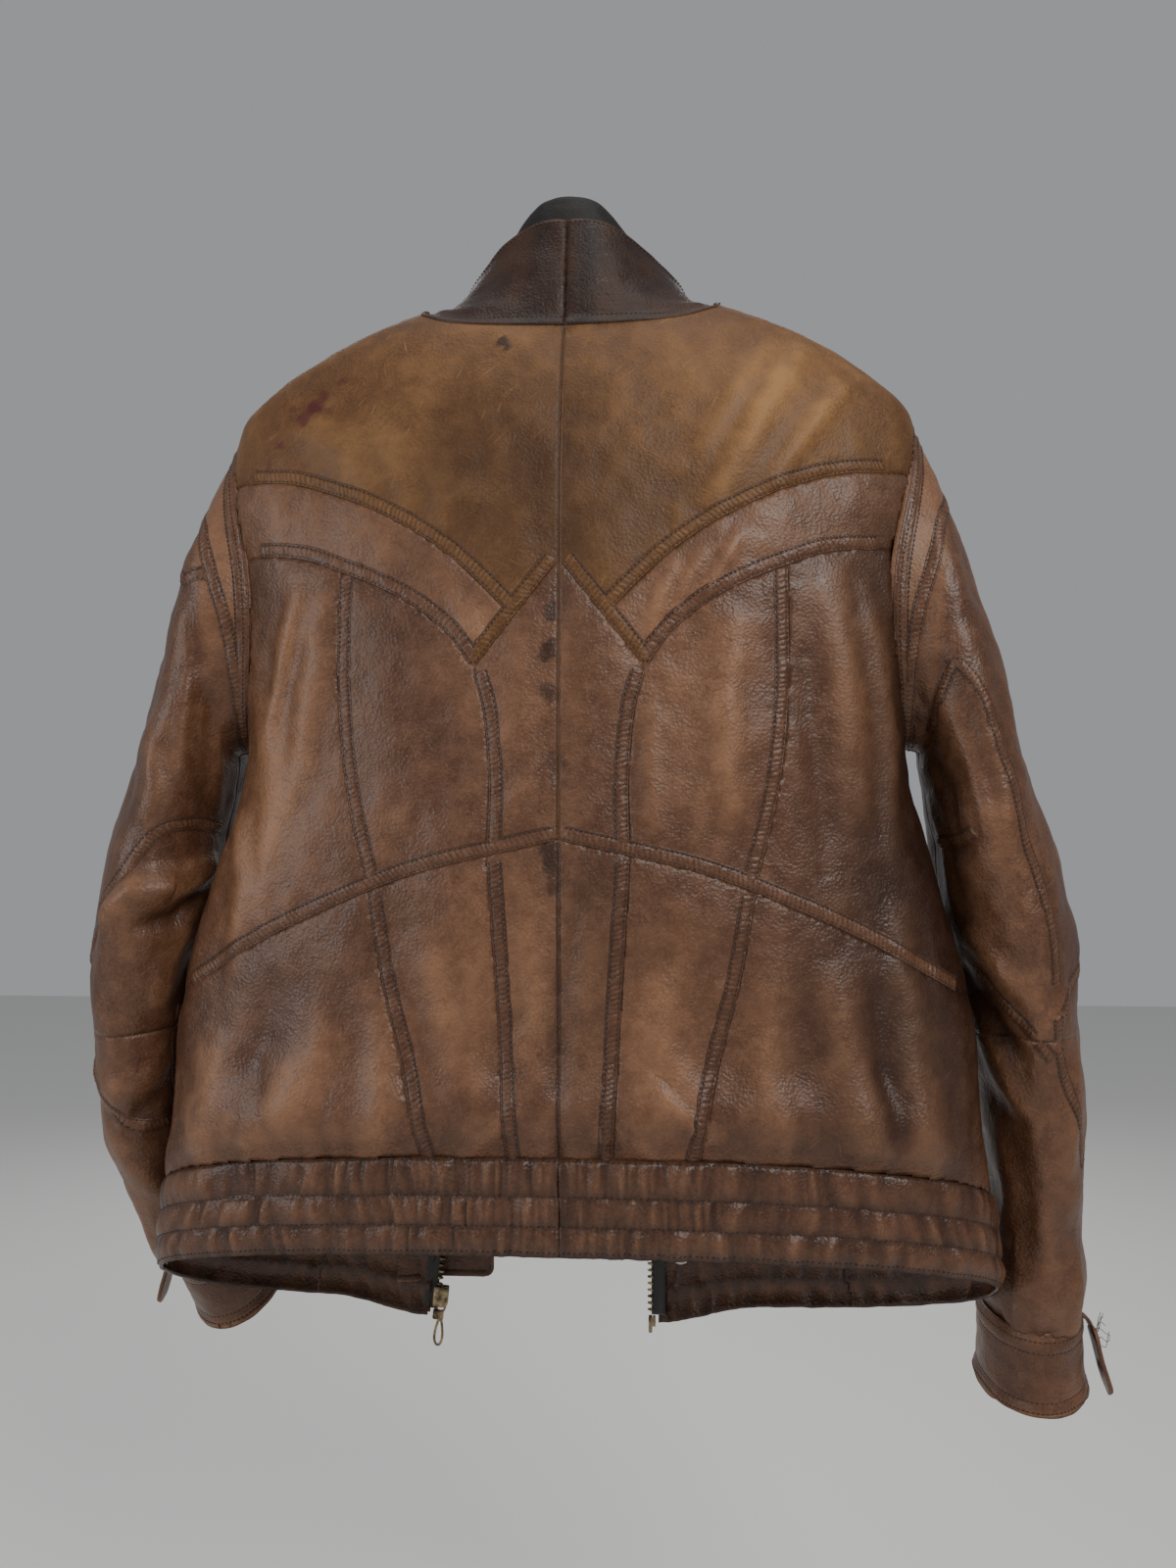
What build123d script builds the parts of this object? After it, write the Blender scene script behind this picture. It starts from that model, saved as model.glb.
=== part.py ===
from build123d import *
import math
import os

# Short leather riding jacket, hanging with its front undone. Millimetres, +Z up.
# The origin is the middle of the neck opening, level with the collar seam at the
# centre back. The front faces -Y, and +X is the wearer's left.
# Each side is built as the left one, and the right one is its mirror image.

os.makedirs("parts", exist_ok=True)

# ---- driving dimensions ----------------------------------------------------
LEATHER = 2.0          # leather with its backing
LINING = 1.0           # lining cloth
LINING_INSET = 2.6     # leather's outer face to the lining
ELASTIC = 1.5
SQUARENESS = 2.4       # exponent of the body's rounded cross-section
REACH = 400.0          # past everything, for cutting solids

# height, half width, depth of the back, depth of the front
STATIONS = [
    (-760, 300, 86, 102),
    (-680, 298, 88, 101),
    (-590, 290, 90, 100),
    (-520, 281, 92, 99.5),
    (-452, 272, 94, 99),
    (-384, 256, 97, 98.5),
    (-285, 232, 98, 98),
    (-180, 240, 97, 98),
    (-110, 248, 92, 97),
    (-60, 240, 82, 84),
    (-30, 212, 72, 74),
    (0, 165, 58, 62),
    (29, 105, 36, 40),
    (60, 60, 30, 30),
]

HEM_SLOPE = 0.5        # the hem drops towards the front
HEM_HEIGHT = -664.0    # at the sides
BAND_HEIGHT = -603.0   # top of the waistband at the sides
ARMHOLE_CENTRE = (-3, -173)
ARMHOLE_RADII = (52, 115)

# Seams of the back as (x, z), from the centre outwards
APEX = (0, -171)
BAND_TIP = (30, -209)
V_CORNER = (56, -242)
YOKE_SEAM = [
    BAND_TIP, (48, -190), (70, -169), (95, -151), (120, -137), (149, -124), (181, -113), (215, -108),
]
YOKE_SEAM_END = (330, -104)
LOWER_SEAM_IN = [V_CORNER, (73, -219), (98, -199), (124, -185), (148, -175)]
LOWER_SEAM_OUT = [(148, -175), (175, -165), (209, -160)]
LOWER_SEAM_END = (330, -157)
WAIST_CENTRE = (0, -353.5)
WAIST_IN = (46, -363.5)
WAIST_OUT = (126, -387)
WAIST_SEAM_MID = [WAIST_IN, (86, -373), WAIST_OUT]
WAIST_SEAM_SIDE = [WAIST_OUT, (196, -418), (268, -458)]
WAIST_SEAM_END = (330, -494)
INNER_SEAM_UP = [V_CORNER, (49, -270), (45, -317), WAIST_IN]
INNER_SEAM_DOWN = [WAIST_IN, (41, -444), (33, -580)]
INNER_SEAM_END = (30, -760)
OUTER_SEAM_UP = [(148, -175), (148, -254), (142, -317), WAIST_OUT]
OUTER_SEAM_DOWN = [WAIST_OUT, (116, -444), (100, -507), (86, -580)]
OUTER_SEAM_END = (60, -760)

# Front: a three-cornered flap swings on a line from the neck to the side of the hem
FOLD_TOP = (57, -62)
FOLD_BOTTOM = (215, -740)
FOLD_GAP = 0.8
FRONT_YOKE_SEAM = [(60, -158), (150, -168), (330, -140)]
ZIP_TOP = -75.0
ZIP_BOTTOM = -722.0
ZIP_DEPTH = -96.0      # middle of the teeth
ZIP_TOP_X = {"left": 52.0, "right": 52.0}
ZIP_BOTTOM_X = {"left": 113.0, "right": 53.0}
TOOTH_PITCH = 5.0
TOOTH_SIZE = (3.7, 2.2, 3.0)
TAPE_EDGE = 7.0        # tooth line to the leather's edge


# ---- the body's solid and its shells ---------------------------------------
def steepness(index, column):
    """Length of the slope for one unit of height, beside one station."""
    low = STATIONS[max(index - 1, 0)]
    high = STATIONS[min(index + 1, len(STATIONS) - 1)]
    return math.hypot(1, (high[column] - low[column]) / (high[0] - low[0]))


def half_section(half_width, back, front):
    """Points of the left half of a cross-section, from the centre back round to the centre front."""
    points = []
    for step in range(11):
        turn = math.pi * step / 10
        across = half_width * abs(math.sin(turn)) ** (2 / SQUARENESS)
        depth = back if step < 5 else front
        along = math.copysign(depth * abs(math.cos(turn)) ** (2 / SQUARENESS), math.cos(turn))
        if step == 5:
            along = 0
        points.append((across, along))
    points[0] = (0, back)
    points[-1] = (0, -front)
    return points


def body_block(inset, inboard=0):
    """Left half of the body as a solid whose skin is inset from the leather's outer face."""
    with BuildPart() as block:
        for index, (z, half_width, back, front) in enumerate(STATIONS):
            points = half_section(
                half_width - inset * steepness(index, 1),
                back - inset * steepness(index, 2),
                front - inset * steepness(index, 3),
            )
            with BuildSketch(Plane.XY.offset(z)):
                with BuildLine():
                    Spline(*points, tangents=((1, 0), (-1, 0)))
                    corners = [points[-1], (-inboard, points[-1][1]), (-inboard, points[0][1]), points[0]]
                    if inboard:
                        Polyline(*corners)
                    else:
                        Line(points[-1], points[0])
                make_face()
        loft()
    return block.part


def body_shell(outer, inner):
    """Left half of the body between two insets."""
    with BuildPart() as shell:
        add(body_block(outer))
        add(body_block(inner, inboard=10), mode=Mode.SUBTRACT)
    return shell.part


def side_prism(corners):
    """A straight-edged outline in the side view (y, z), carried across the whole left half."""
    with BuildPart() as prism:
        with BuildSketch(Plane.YZ.offset(-20)):
            with BuildLine():
                Polyline(*corners, close=True)
            make_face()
        extrude(amount=REACH + 20)
    return prism.part


def below(height):
    """Everything under the plane that is parallel to the hem."""
    drop = HEM_SLOPE * REACH
    return side_prism([(-REACH, height - drop), (REACH, height + drop), (REACH, -1400), (-REACH, -1400)])


def neck_cutter():
    """Everything above the neckline: it rises from the back to the sides and falls to the front."""
    with BuildPart() as cutter:
        with BuildSketch(Plane.YZ.offset(-20)):
            with BuildLine():
                Line((140, 3), (58, 0))
                Spline((58, 0), (28, 19), (0, 29), (-45, 2), (-86, -62))
                Polyline((-86, -62), (-140, -84), (-140, 130), (140, 130), (140, 3))
            make_face()
        extrude(amount=REACH + 20)
    return cutter.part


def armhole_cutter(margin):
    """The arm's hole through the side of the body."""
    with BuildPart() as cutter:
        with BuildSketch(Plane.YZ.offset(150)):
            with Locations(ARMHOLE_CENTRE):
                Ellipse(ARMHOLE_RADII[0] + margin, ARMHOLE_RADII[1] + margin)
        extrude(amount=REACH)
    return cutter.part


def upper_shell(outer, inner, margin=0):
    """Shell above the waistband, with the neck and the armhole cut out."""
    with BuildPart() as shell:
        add(body_shell(outer, inner))
        add(NECK, mode=Mode.SUBTRACT)
        add(armhole_cutter(margin), mode=Mode.SUBTRACT)
        add(BELOW_BAND_TOP, mode=Mode.SUBTRACT)
    return shell.part


def band_shell(outer, inner):
    """Shell of the waistband, from its top to the hem."""
    with BuildPart() as shell:
        add(body_shell(outer, inner))
        add(BELOW_BAND_TOP, mode=Mode.INTERSECT)
        add(BELOW_HEM, mode=Mode.SUBTRACT)
    return shell.part


def view_prism(edges, depth):
    """A closed outline in the (x, z) view, carried forward by depth, or backward if it is negative."""
    with BuildPart() as prism:
        with BuildSketch(Plane.XZ):
            with BuildLine():
                for edge in edges:
                    if len(edge) == 2:
                        Line(*edge)
                    else:
                        Spline(*edge)
            make_face()
        extrude(amount=depth)
    return prism.part


def polygon_prism(corners, depth):
    """A straight-edged outline in the (x, z) view."""
    loop = list(corners) + [corners[0]]
    return view_prism([(loop[i], loop[i + 1]) for i in range(len(corners))], depth)


def write(solid, name, side=""):
    """Write one piece. A right-hand piece is the mirror image of the solid it is given."""
    full_name = f"{name}_{side}" if side else name
    with BuildPart() as piece:
        if side == "right":
            mirror(solid, about=Plane.YZ)
        else:
            add(solid)
    piece.part.label = full_name
    export_step(piece.part, f"parts/{full_name}.step")


def write_whole(solid, name):
    """Write one piece that runs across both sides, given its left half."""
    with BuildPart() as piece:
        add(solid)
        mirror(solid, about=Plane.YZ)
    piece.part.label = name
    export_step(piece.part, f"parts/{name}.step")


def cut_out(shell, prism, name, side):
    """Cut one panel out of a shell and write it."""
    with BuildPart() as panel:
        add(shell)
        add(prism, mode=Mode.INTERSECT)
    write(panel.part, name, side)


NECK = neck_cutter()
BELOW_BAND_TOP = below(BAND_HEIGHT)
BELOW_HEM = below(HEM_HEIGHT)
LEATHER_SHELL = upper_shell(0, LEATHER)
LINING_SHELL = upper_shell(LINING_INSET, LINING_INSET + LINING, margin=1)
BAND_SHELL = band_shell(0, LEATHER)


# ---- back panels -------------------------------------------------------------
BACK_PANELS = {
    "back_yoke": [
        ((0, 60), APEX), (APEX, BAND_TIP), YOKE_SEAM,
        (YOKE_SEAM[-1], YOKE_SEAM_END), (YOKE_SEAM_END, (330, 60)), ((330, 60), (0, 60)),
    ],
    "yoke_band": [
        (BAND_TIP, V_CORNER), LOWER_SEAM_IN, LOWER_SEAM_OUT, (LOWER_SEAM_OUT[-1], LOWER_SEAM_END),
        (LOWER_SEAM_END, YOKE_SEAM_END), (YOKE_SEAM_END, YOKE_SEAM[-1]), YOKE_SEAM,
    ],
    "centre_back": [
        (APEX, BAND_TIP), (BAND_TIP, V_CORNER), INNER_SEAM_UP, (WAIST_IN, WAIST_CENTRE), (WAIST_CENTRE, APEX),
    ],
    "mid_back": [LOWER_SEAM_IN, OUTER_SEAM_UP, WAIST_SEAM_MID, INNER_SEAM_UP],
    "side_back": [
        LOWER_SEAM_OUT, (LOWER_SEAM_OUT[-1], LOWER_SEAM_END), (LOWER_SEAM_END, WAIST_SEAM_END),
        (WAIST_SEAM_END, WAIST_SEAM_SIDE[-1]), WAIST_SEAM_SIDE, OUTER_SEAM_UP,
    ],
    "lower_centre": [
        (WAIST_CENTRE, WAIST_IN), INNER_SEAM_DOWN, (INNER_SEAM_DOWN[-1], INNER_SEAM_END),
        (INNER_SEAM_END, (0, -760)), ((0, -760), WAIST_CENTRE),
    ],
    "lower_back": [
        WAIST_SEAM_MID, OUTER_SEAM_DOWN, (OUTER_SEAM_DOWN[-1], OUTER_SEAM_END),
        (OUTER_SEAM_END, INNER_SEAM_END), (INNER_SEAM_END, INNER_SEAM_DOWN[-1]), INNER_SEAM_DOWN,
    ],
    "lower_side": [
        WAIST_SEAM_SIDE, (WAIST_SEAM_SIDE[-1], WAIST_SEAM_END), (WAIST_SEAM_END, (330, -760)),
        ((330, -760), OUTER_SEAM_END), (OUTER_SEAM_END, OUTER_SEAM_DOWN[-1]), OUTER_SEAM_DOWN,
    ],
}

for name, edges in BACK_PANELS.items():
    prism = view_prism(edges, -150)
    for side in ("left", "right"):
        cut_out(LEATHER_SHELL, prism, name, side)


# ---- front: yoke, side panel, flap with its facing --------------------------
def fold_x(z, shift):
    """x of the flap's fold line at a height, moved outboard by shift."""
    run = (z - FOLD_TOP[1]) / (FOLD_BOTTOM[1] - FOLD_TOP[1])
    return FOLD_TOP[0] + run * (FOLD_BOTTOM[0] - FOLD_TOP[0]) + shift


def zip_x(side, z):
    """x of the line of teeth at a height."""
    run = (z - ZIP_TOP) / (ZIP_BOTTOM - ZIP_TOP)
    return ZIP_TOP_X[side] + run * (ZIP_BOTTOM_X[side] - ZIP_TOP_X[side])


def flap_prism(side):
    """The flap's outline between the zip and the fold line."""
    top = -86
    return polygon_prism(
        [
            (zip_x(side, top) + TAPE_EDGE + 0.1, top),
            (fold_x(top, -FOLD_GAP), top),
            (fold_x(-780, -FOLD_GAP), -780),
            (zip_x(side, -780) + TAPE_EDGE + 0.1, -780),
        ],
        150,
    )


yoke_prism = view_prism(
    [
        (FRONT_YOKE_SEAM[0], (fold_x(80, FOLD_GAP), 80)), ((fold_x(80, FOLD_GAP), 80), (330, 80)),
        ((330, 80), FRONT_YOKE_SEAM[-1]), FRONT_YOKE_SEAM,
    ],
    150,
)
side_prism_front = view_prism(
    [
        FRONT_YOKE_SEAM, (FRONT_YOKE_SEAM[-1], (330, -780)), ((330, -780), (fold_x(-780, 0), -780)),
        ((fold_x(-780, 0), -780), FRONT_YOKE_SEAM[0]),
    ],
    150,
)
outboard_of_fold = polygon_prism(
    [(fold_x(80, FOLD_GAP), 80), (400, 80), (400, -800), (fold_x(-800, FOLD_GAP), -800)], 150
)
behind_middle = polygon_prism([(-20, 80), (400, 80), (400, -800), (-20, -800)], -150)

with BuildPart() as root_region:
    add(outboard_of_fold)
    add(behind_middle)

with BuildPart() as front_outer:
    add(LEATHER_SHELL)
    add(outboard_of_fold, mode=Mode.INTERSECT)

for side in ("left", "right"):
    cut_out(front_outer.part, yoke_prism, "front_yoke", side)
    cut_out(front_outer.part, side_prism_front, "front_side", side)
    cut_out(LEATHER_SHELL, flap_prism(side), "front_panel", side)
    cut_out(LINING_SHELL, flap_prism(side), "front_facing", side)
    cut_out(BAND_SHELL, root_region.part, "waistband", side)

with BuildPart() as body_lining:
    add(LINING_SHELL)
    add(root_region.part, mode=Mode.INTERSECT)
write_whole(body_lining.part, "body_lining")


# ---- waistband fronts: the left one carries a snap tab over the zip ----------
TAB_LENGTH = 38.0
TAB_TOP = -652.0
TAB_BOTTOM = -700.0

for side in ("left", "right"):
    with BuildPart() as waistband_front:
        add(BAND_SHELL)
        add(flap_prism(side), mode=Mode.INTERSECT)
        if side == "left":
            zip_here = zip_x(side, TAB_BOTTOM)
            with BuildSketch(Plane.XY.offset(TAB_BOTTOM)):
                with BuildLine():
                    FilletPolyline(
                        (zip_here + 34, -91.6),
                        (zip_here + 22, -93.2),
                        (zip_here + 9, -107),
                        (zip_here - TAB_LENGTH, -107.5),
                        radius=4,
                    )
                    offset(amount=1, side=Side.BOTH)
                make_face()
            extrude(amount=TAB_TOP - TAB_BOTTOM)
    write(waistband_front.part, "waistband_front", side)

with BuildPart() as elastic:
    add(band_shell(2.4, 2.4 + ELASTIC))
    add(side_prism([(-40, -560), (200, -560), (200, -720), (-40, -720)]), mode=Mode.INTERSECT)
write_whole(elastic.part, "waist_elastic")


# ---- snap fastener -----------------------------------------------------------
SNAP_HEIGHT = -676.0

with BuildPart() as snap_socket:
    with BuildSketch(Plane.XZ.offset(108.6)):
        with Locations((zip_x("left", SNAP_HEIGHT) - 24, SNAP_HEIGHT)):
            Circle(8)
    extrude(amount=1.6)
    with BuildSketch(Plane.XZ.offset(110.2)):
        with Locations((zip_x("left", SNAP_HEIGHT) - 24, SNAP_HEIGHT)):
            Circle(3.4)
    extrude(amount=-1.0, mode=Mode.SUBTRACT)
snap_socket.part.label = "snap_socket"
export_step(snap_socket.part, "parts/snap_socket.step")

with BuildPart() as snap_stud:
    with BuildSketch(Plane.XZ.offset(102.3)):
        with Locations((-(zip_x("right", SNAP_HEIGHT) + 24), SNAP_HEIGHT)):
            Circle(7)
    extrude(amount=1.4)
    with BuildSketch(Plane.XZ.offset(103.7)):
        with Locations((-(zip_x("right", SNAP_HEIGHT) + 24), SNAP_HEIGHT)):
            Circle(2.6)
    extrude(amount=2.2)
snap_stud.part.label = "snap_stud"
export_step(snap_stud.part, "parts/snap_stud.step")


# ---- zip -----------------------------------------------------------------------
def zip_plane(side):
    """Plane of one zip edge: its x runs outboard to the leather, its y up the teeth, its z forward."""
    up = Vector(ZIP_TOP_X[side] - ZIP_BOTTOM_X[side], 0, ZIP_TOP - ZIP_BOTTOM).normalized()
    return Plane(origin=(ZIP_BOTTOM_X[side], ZIP_DEPTH, ZIP_BOTTOM), x_dir=(up.Z, 0, -up.X), z_dir=(0, -1, 0))


def zip_length(side):
    """Length of one line of teeth."""
    return math.hypot(ZIP_TOP_X[side] - ZIP_BOTTOM_X[side], ZIP_TOP - ZIP_BOTTOM)


def zip_box_solid(plane, low, high):
    """A block given by its corners in the zip's plane."""
    with BuildPart() as block:
        with BuildSketch(plane.offset(low[2])):
            with Locations(((low[0] + high[0]) / 2, (low[1] + high[1]) / 2)):
                Rectangle(high[0] - low[0], high[1] - low[1])
        extrude(amount=high[2] - low[2])
    return block.part


for side in ("left", "right"):
    plane = zip_plane(side)
    write(zip_box_solid(plane, (2.3, 0, -0.5), (TAPE_EDGE, zip_length(side), 0.5)), "zip_tape", side)
    tooth_count = int(zip_length(side) / TOOTH_PITCH)
    with BuildPart() as zip_teeth:
        with Locations(plane):
            with Locations((0.4, tooth_count * TOOTH_PITCH / 2 + 1.5, 0)):
                with GridLocations(TOOTH_PITCH, TOOTH_PITCH, 1, tooth_count):
                    Box(*TOOTH_SIZE)
    write(zip_teeth.part, "zip_teeth", side)

SLIDER_LOW = 2.0
SLIDER_HIGH = 18.0
PULL_AXIS_Y = 10.0
PULL_AXIS_Z = 5.2
slider_plane = zip_plane("left")

with BuildPart() as zip_slider:
    add(zip_box_solid(slider_plane, (-7, SLIDER_LOW, 1.9), (4.8, SLIDER_HIGH, 3.9)))
    add(zip_box_solid(slider_plane, (-7, SLIDER_LOW, -3.9), (4.8, SLIDER_HIGH, -1.9)))
    add(zip_box_solid(slider_plane, (-7, SLIDER_LOW, -2), (-1.9, SLIDER_HIGH, 2)))
    add(zip_box_solid(slider_plane, (-2.4, 4.0, 3.8), (0, 6.5, 7.6)))
    add(zip_box_solid(slider_plane, (-2.4, 13.5, 3.8), (0, 16, 7.6)))
    add(zip_box_solid(slider_plane, (-2.4, 4.0, 6.5), (0, 16, 7.6)))
zip_slider.part.label = "zip_slider"
export_step(zip_slider.part, "parts/zip_slider.step")

with BuildPart() as zip_pull:
    with BuildSketch(slider_plane.offset(PULL_AXIS_Z - 0.7)):
        with Locations((-1.2, PULL_AXIS_Y - 8)):
            RectangleRounded(8.6, 17.4, 1.5)
            RectangleRounded(5.6, 14.6, 0.8, mode=Mode.SUBTRACT)
        with Locations((-1.2, PULL_AXIS_Y - 28.2)):
            Ellipse(4.6, 12.2)
            Ellipse(1.8, 8.5, mode=Mode.SUBTRACT)
    extrude(amount=1.4)
zip_pull.part.label = "zip_pull"
export_step(zip_pull.part, "parts/zip_pull.step")

with BuildPart() as zip_box:
    add(zip_box_solid(slider_plane, (-4.5, -8, -2.6), (4.0, -0.3, 2.6)))
zip_box.part.label = "zip_box"
export_step(zip_box.part, "parts/zip_box.step")

with BuildPart() as zip_pin:
    mirror(zip_box_solid(zip_plane("right"), (-1.2, -14, -1.1), (2.0, -0.3, 1.1)), about=Plane.YZ)
zip_pin.part.label = "zip_pin"
export_step(zip_pin.part, "parts/zip_pin.step")


# ---- collar --------------------------------------------------------------------
# foot, top of the leather and how far the dark facing stands above it, from the centre back to the front
COLLAR = [
    ((0, 57.5, 3.0), (0, 36, 80), 24),
    ((40, 56.5, 7.5), (28, 31, 79), 22),
    ((78, 41.5, 22.0), (56, 10, 66), 12),
    ((105, 8.0, 35.5), (82, -28, 49), 6),
    ((108, -28.0, 25.5), (99, -78, 24), 2),
    ((91, -65.0, -14.0), (98, -115, -26), 1),
    ((63, -97.5, -57.5), (80, -142, -88), 0),
]
COLLAR_LEATHER = 2.4
COLLAR_FACING = 1.6


def collar_solid(inner, outer, grow, lift):
    """Left half of the collar between two distances from its outer face, its foot lifted off the neckline."""
    middles = [(Vector(*foot) + Vector(*top)) * 0.5 for foot, top, _ in COLLAR]
    with BuildPart() as half:
        for index, (foot, top, extra) in enumerate(COLLAR):
            rise = Vector(*top) - Vector(*foot)
            up = rise.normalized()
            height = rise.length + extra * grow - lift
            ahead = middles[min(index + 1, len(COLLAR) - 1)] - middles[max(index - 1, 0)]
            if index == 0:
                ahead = Vector(1, 0, 0)
            ahead = (ahead - up * ahead.dot(up)).normalized()
            outward = up.cross(ahead)
            centre = Vector(*foot) + up * (lift + height / 2) - outward * ((inner + outer) / 2)
            with BuildSketch(Plane(origin=centre, x_dir=up, z_dir=ahead)):
                Rectangle(height, outer - inner)
        loft(ruled=True)
    return half.part


for side in ("left", "right"):
    write(collar_solid(0, COLLAR_LEATHER, 0, 0), "collar", side)
write_whole(collar_solid(COLLAR_LEATHER + 0.6, COLLAR_LEATHER + 0.6 + COLLAR_FACING, 1, 5), "collar_facing")


# ---- hanger loop inside the back of the neck ---------------------------------
LOOP_BACK = 49.0
LOOP_FRONT = 39.0
LOOP_HEIGHT = -14.0

with BuildPart() as hanger_loop:
    with BuildSketch(Plane.XY.offset(LOOP_HEIGHT)):
        with BuildLine():
            FilletPolyline(
                (-27, LOOP_BACK),
                (-20, LOOP_BACK),
                (-13, LOOP_FRONT),
                (13, LOOP_FRONT),
                (20, LOOP_BACK),
                (27, LOOP_BACK),
                radius=3,
            )
            offset(amount=0.7, side=Side.BOTH)
        make_face()
    extrude(amount=7)
hanger_loop.part.label = "hanger_loop"
export_step(hanger_loop.part, "parts/hanger_loop.step")


# ---- sleeves ---------------------------------------------------------------------
# outer point (x, z), inner point (x, z), middle y, half depth
UPPER_SLEEVE = [
    ((244, -61), (244, -287), -3, 54),
    ((264, -112), (246, -293), -6, 60),
    ((284, -174), (248, -306), -10, 66),
    ((303, -242), (252, -326), -14, 71),
    ((323, -316), (257, -352), -18, 74),
    ((345, -390), (264, -400), -24, 76),
    ((357, -456), (277, -456), -30, 72),
]
# middle point, half width, half depth; the first is the elbow
FOREARM = {
    "right": [
        ((317, -30, -457.2), 40, 72),
        ((326, -40, -540), 34, 64),
        ((329, -52, -620), 33, 56),
        ((331, -60, -694), 33, 49),
    ],
    "left": [
        ((317, -30, -457.2), 40, 72),
        ((323, -46, -536), 35, 64),
        ((310, -74, -606), 34, 56),
        ((294, -106, -664), 33, 49),
    ],
}
CUFF_LENGTH = 54.0
CUFF_LEATHER = 3.0


def upper_panel(outer_inset, inner_inset, start):
    """Half of the upper sleeve between two insets. The front half starts at 0 degrees, the back half at 180."""
    with BuildPart() as panel:
        for outer, inner, middle_y, half_depth in UPPER_SLEEVE:
            across = Vector(outer[0] - inner[0], 0, outer[1] - inner[1])
            half_width = across.length / 2
            centre = ((outer[0] + inner[0]) / 2, middle_y, (outer[1] + inner[1]) / 2)
            along = Vector(0, 1, 0).cross(across.normalized())
            with BuildSketch(Plane(origin=centre, x_dir=across.normalized(), z_dir=along)):
                with BuildLine():
                    for inset in (outer_inset, inner_inset):
                        EllipticalCenterArc((0, 0), half_width - inset, half_depth - inset, start, arc_size=180)
                    Line((half_width - outer_inset, 0), (half_width - inner_inset, 0))
                    Line((outer_inset - half_width, 0), (inner_inset - half_width, 0))
                make_face()
        loft(ruled=True)
    return panel.part


def forearm_plane(side, index, shift=0.0):
    """Plane across the forearm at one of its stations, moved down the arm by shift."""
    stations = FOREARM[side]
    here = Vector(*stations[index][0])
    if index == 0:
        down = Vector(0, 0, -1)
    else:
        after = Vector(*stations[min(index + 1, len(stations) - 1)][0])
        down = (after - Vector(*stations[index - 1][0])).normalized()
    sideways = (Vector(1, 0, 0) - down * down.X).normalized()
    return Plane(origin=here + down * shift, x_dir=sideways, z_dir=down)


def forearm(side, inset):
    """The forearm as a solid."""
    with BuildPart() as arm:
        for index, (_, half_width, half_depth) in enumerate(FOREARM[side]):
            with BuildSketch(forearm_plane(side, index)):
                Ellipse(half_width - inset, half_depth - inset)
        loft()
    return arm.part


def cuff_solid(side, inset):
    """The cuff's solid, a little wider than the sleeve that it closes."""
    _, half_width, half_depth = FOREARM[side][-1]
    last = len(FOREARM[side]) - 1
    with BuildPart() as arm:
        for shift, grow in ((0.2, 1.0), (CUFF_LENGTH, 3.0)):
            with BuildSketch(forearm_plane(side, last, shift)):
                Ellipse(half_width + grow - inset, half_depth + grow - inset)
        loft()
    return arm.part


def tube(outer_solid, inner_solid):
    """A solid with another one taken out of it."""
    with BuildPart() as shell:
        add(outer_solid)
        add(inner_solid, mode=Mode.SUBTRACT)
    return shell.part


def write_halves(solid, plane, back_name, front_name, side):
    """Split a sleeve along its length into a back and a front panel."""
    for name, keep in ((back_name, Keep.TOP), (front_name, Keep.BOTTOM)):
        with BuildPart() as panel:
            add(solid)
            split(bisect_by=plane, keep=keep)
        write(panel.part, name, side)


with BuildPart() as upper_lining:
    add(upper_panel(LINING_INSET, LINING_INSET + LINING, 0))
    add(upper_panel(LINING_INSET, LINING_INSET + LINING, 180))

for side in ("left", "right"):
    write(upper_panel(0, LEATHER, 180), "sleeve_back", side)
    write(upper_panel(0, LEATHER, 0), "sleeve_front", side)
    write(upper_lining.part, "sleeve_lining", side)
    first = Vector(*FOREARM[side][0][0])
    last = Vector(*FOREARM[side][-1][0])
    run = (last - first).normalized()
    middle = Plane(origin=first, z_dir=Vector(1, 0, 0).cross(run))
    forearm_tube = tube(forearm(side, 0), forearm(side, LEATHER))
    write_halves(forearm_tube, middle, "forearm_back", "forearm_front", side)
    write(tube(forearm(side, LINING_INSET), forearm(side, LINING_INSET + LINING)), "forearm_lining", side)
    write(tube(cuff_solid(side, 0), cuff_solid(side, CUFF_LEATHER)), "cuff", side)


# ---- cuff straps ------------------------------------------------------------------
STRAP_WIDTH = 18.0
STRAP_LENGTH = 50.0
STRAP_THICKNESS = 2.5
STRAP_ROOT = {"right": (372.5, -50, -704), "left": (331.5, -112, -680)}
STRAP_LEAN = 12.0      # degrees outwards

for side in ("left", "right"):
    root = STRAP_ROOT[side]
    lean = math.radians(STRAP_LEAN)
    down = Vector(math.sin(lean), 0, -math.cos(lean))
    with BuildPart() as cuff_strap:
        with BuildSketch(Plane(origin=root, x_dir=down, z_dir=(math.cos(lean), 0, math.sin(lean)))):
            with Locations((STRAP_LENGTH / 2, 0)):
                SlotOverall(STRAP_LENGTH, STRAP_WIDTH)
        extrude(amount=STRAP_THICKNESS)
    write(cuff_strap.part, "cuff_strap", side)
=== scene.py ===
import math
import random

import bpy
import numpy as np
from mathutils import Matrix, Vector
from mathutils.bvhtree import BVHTree


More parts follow.
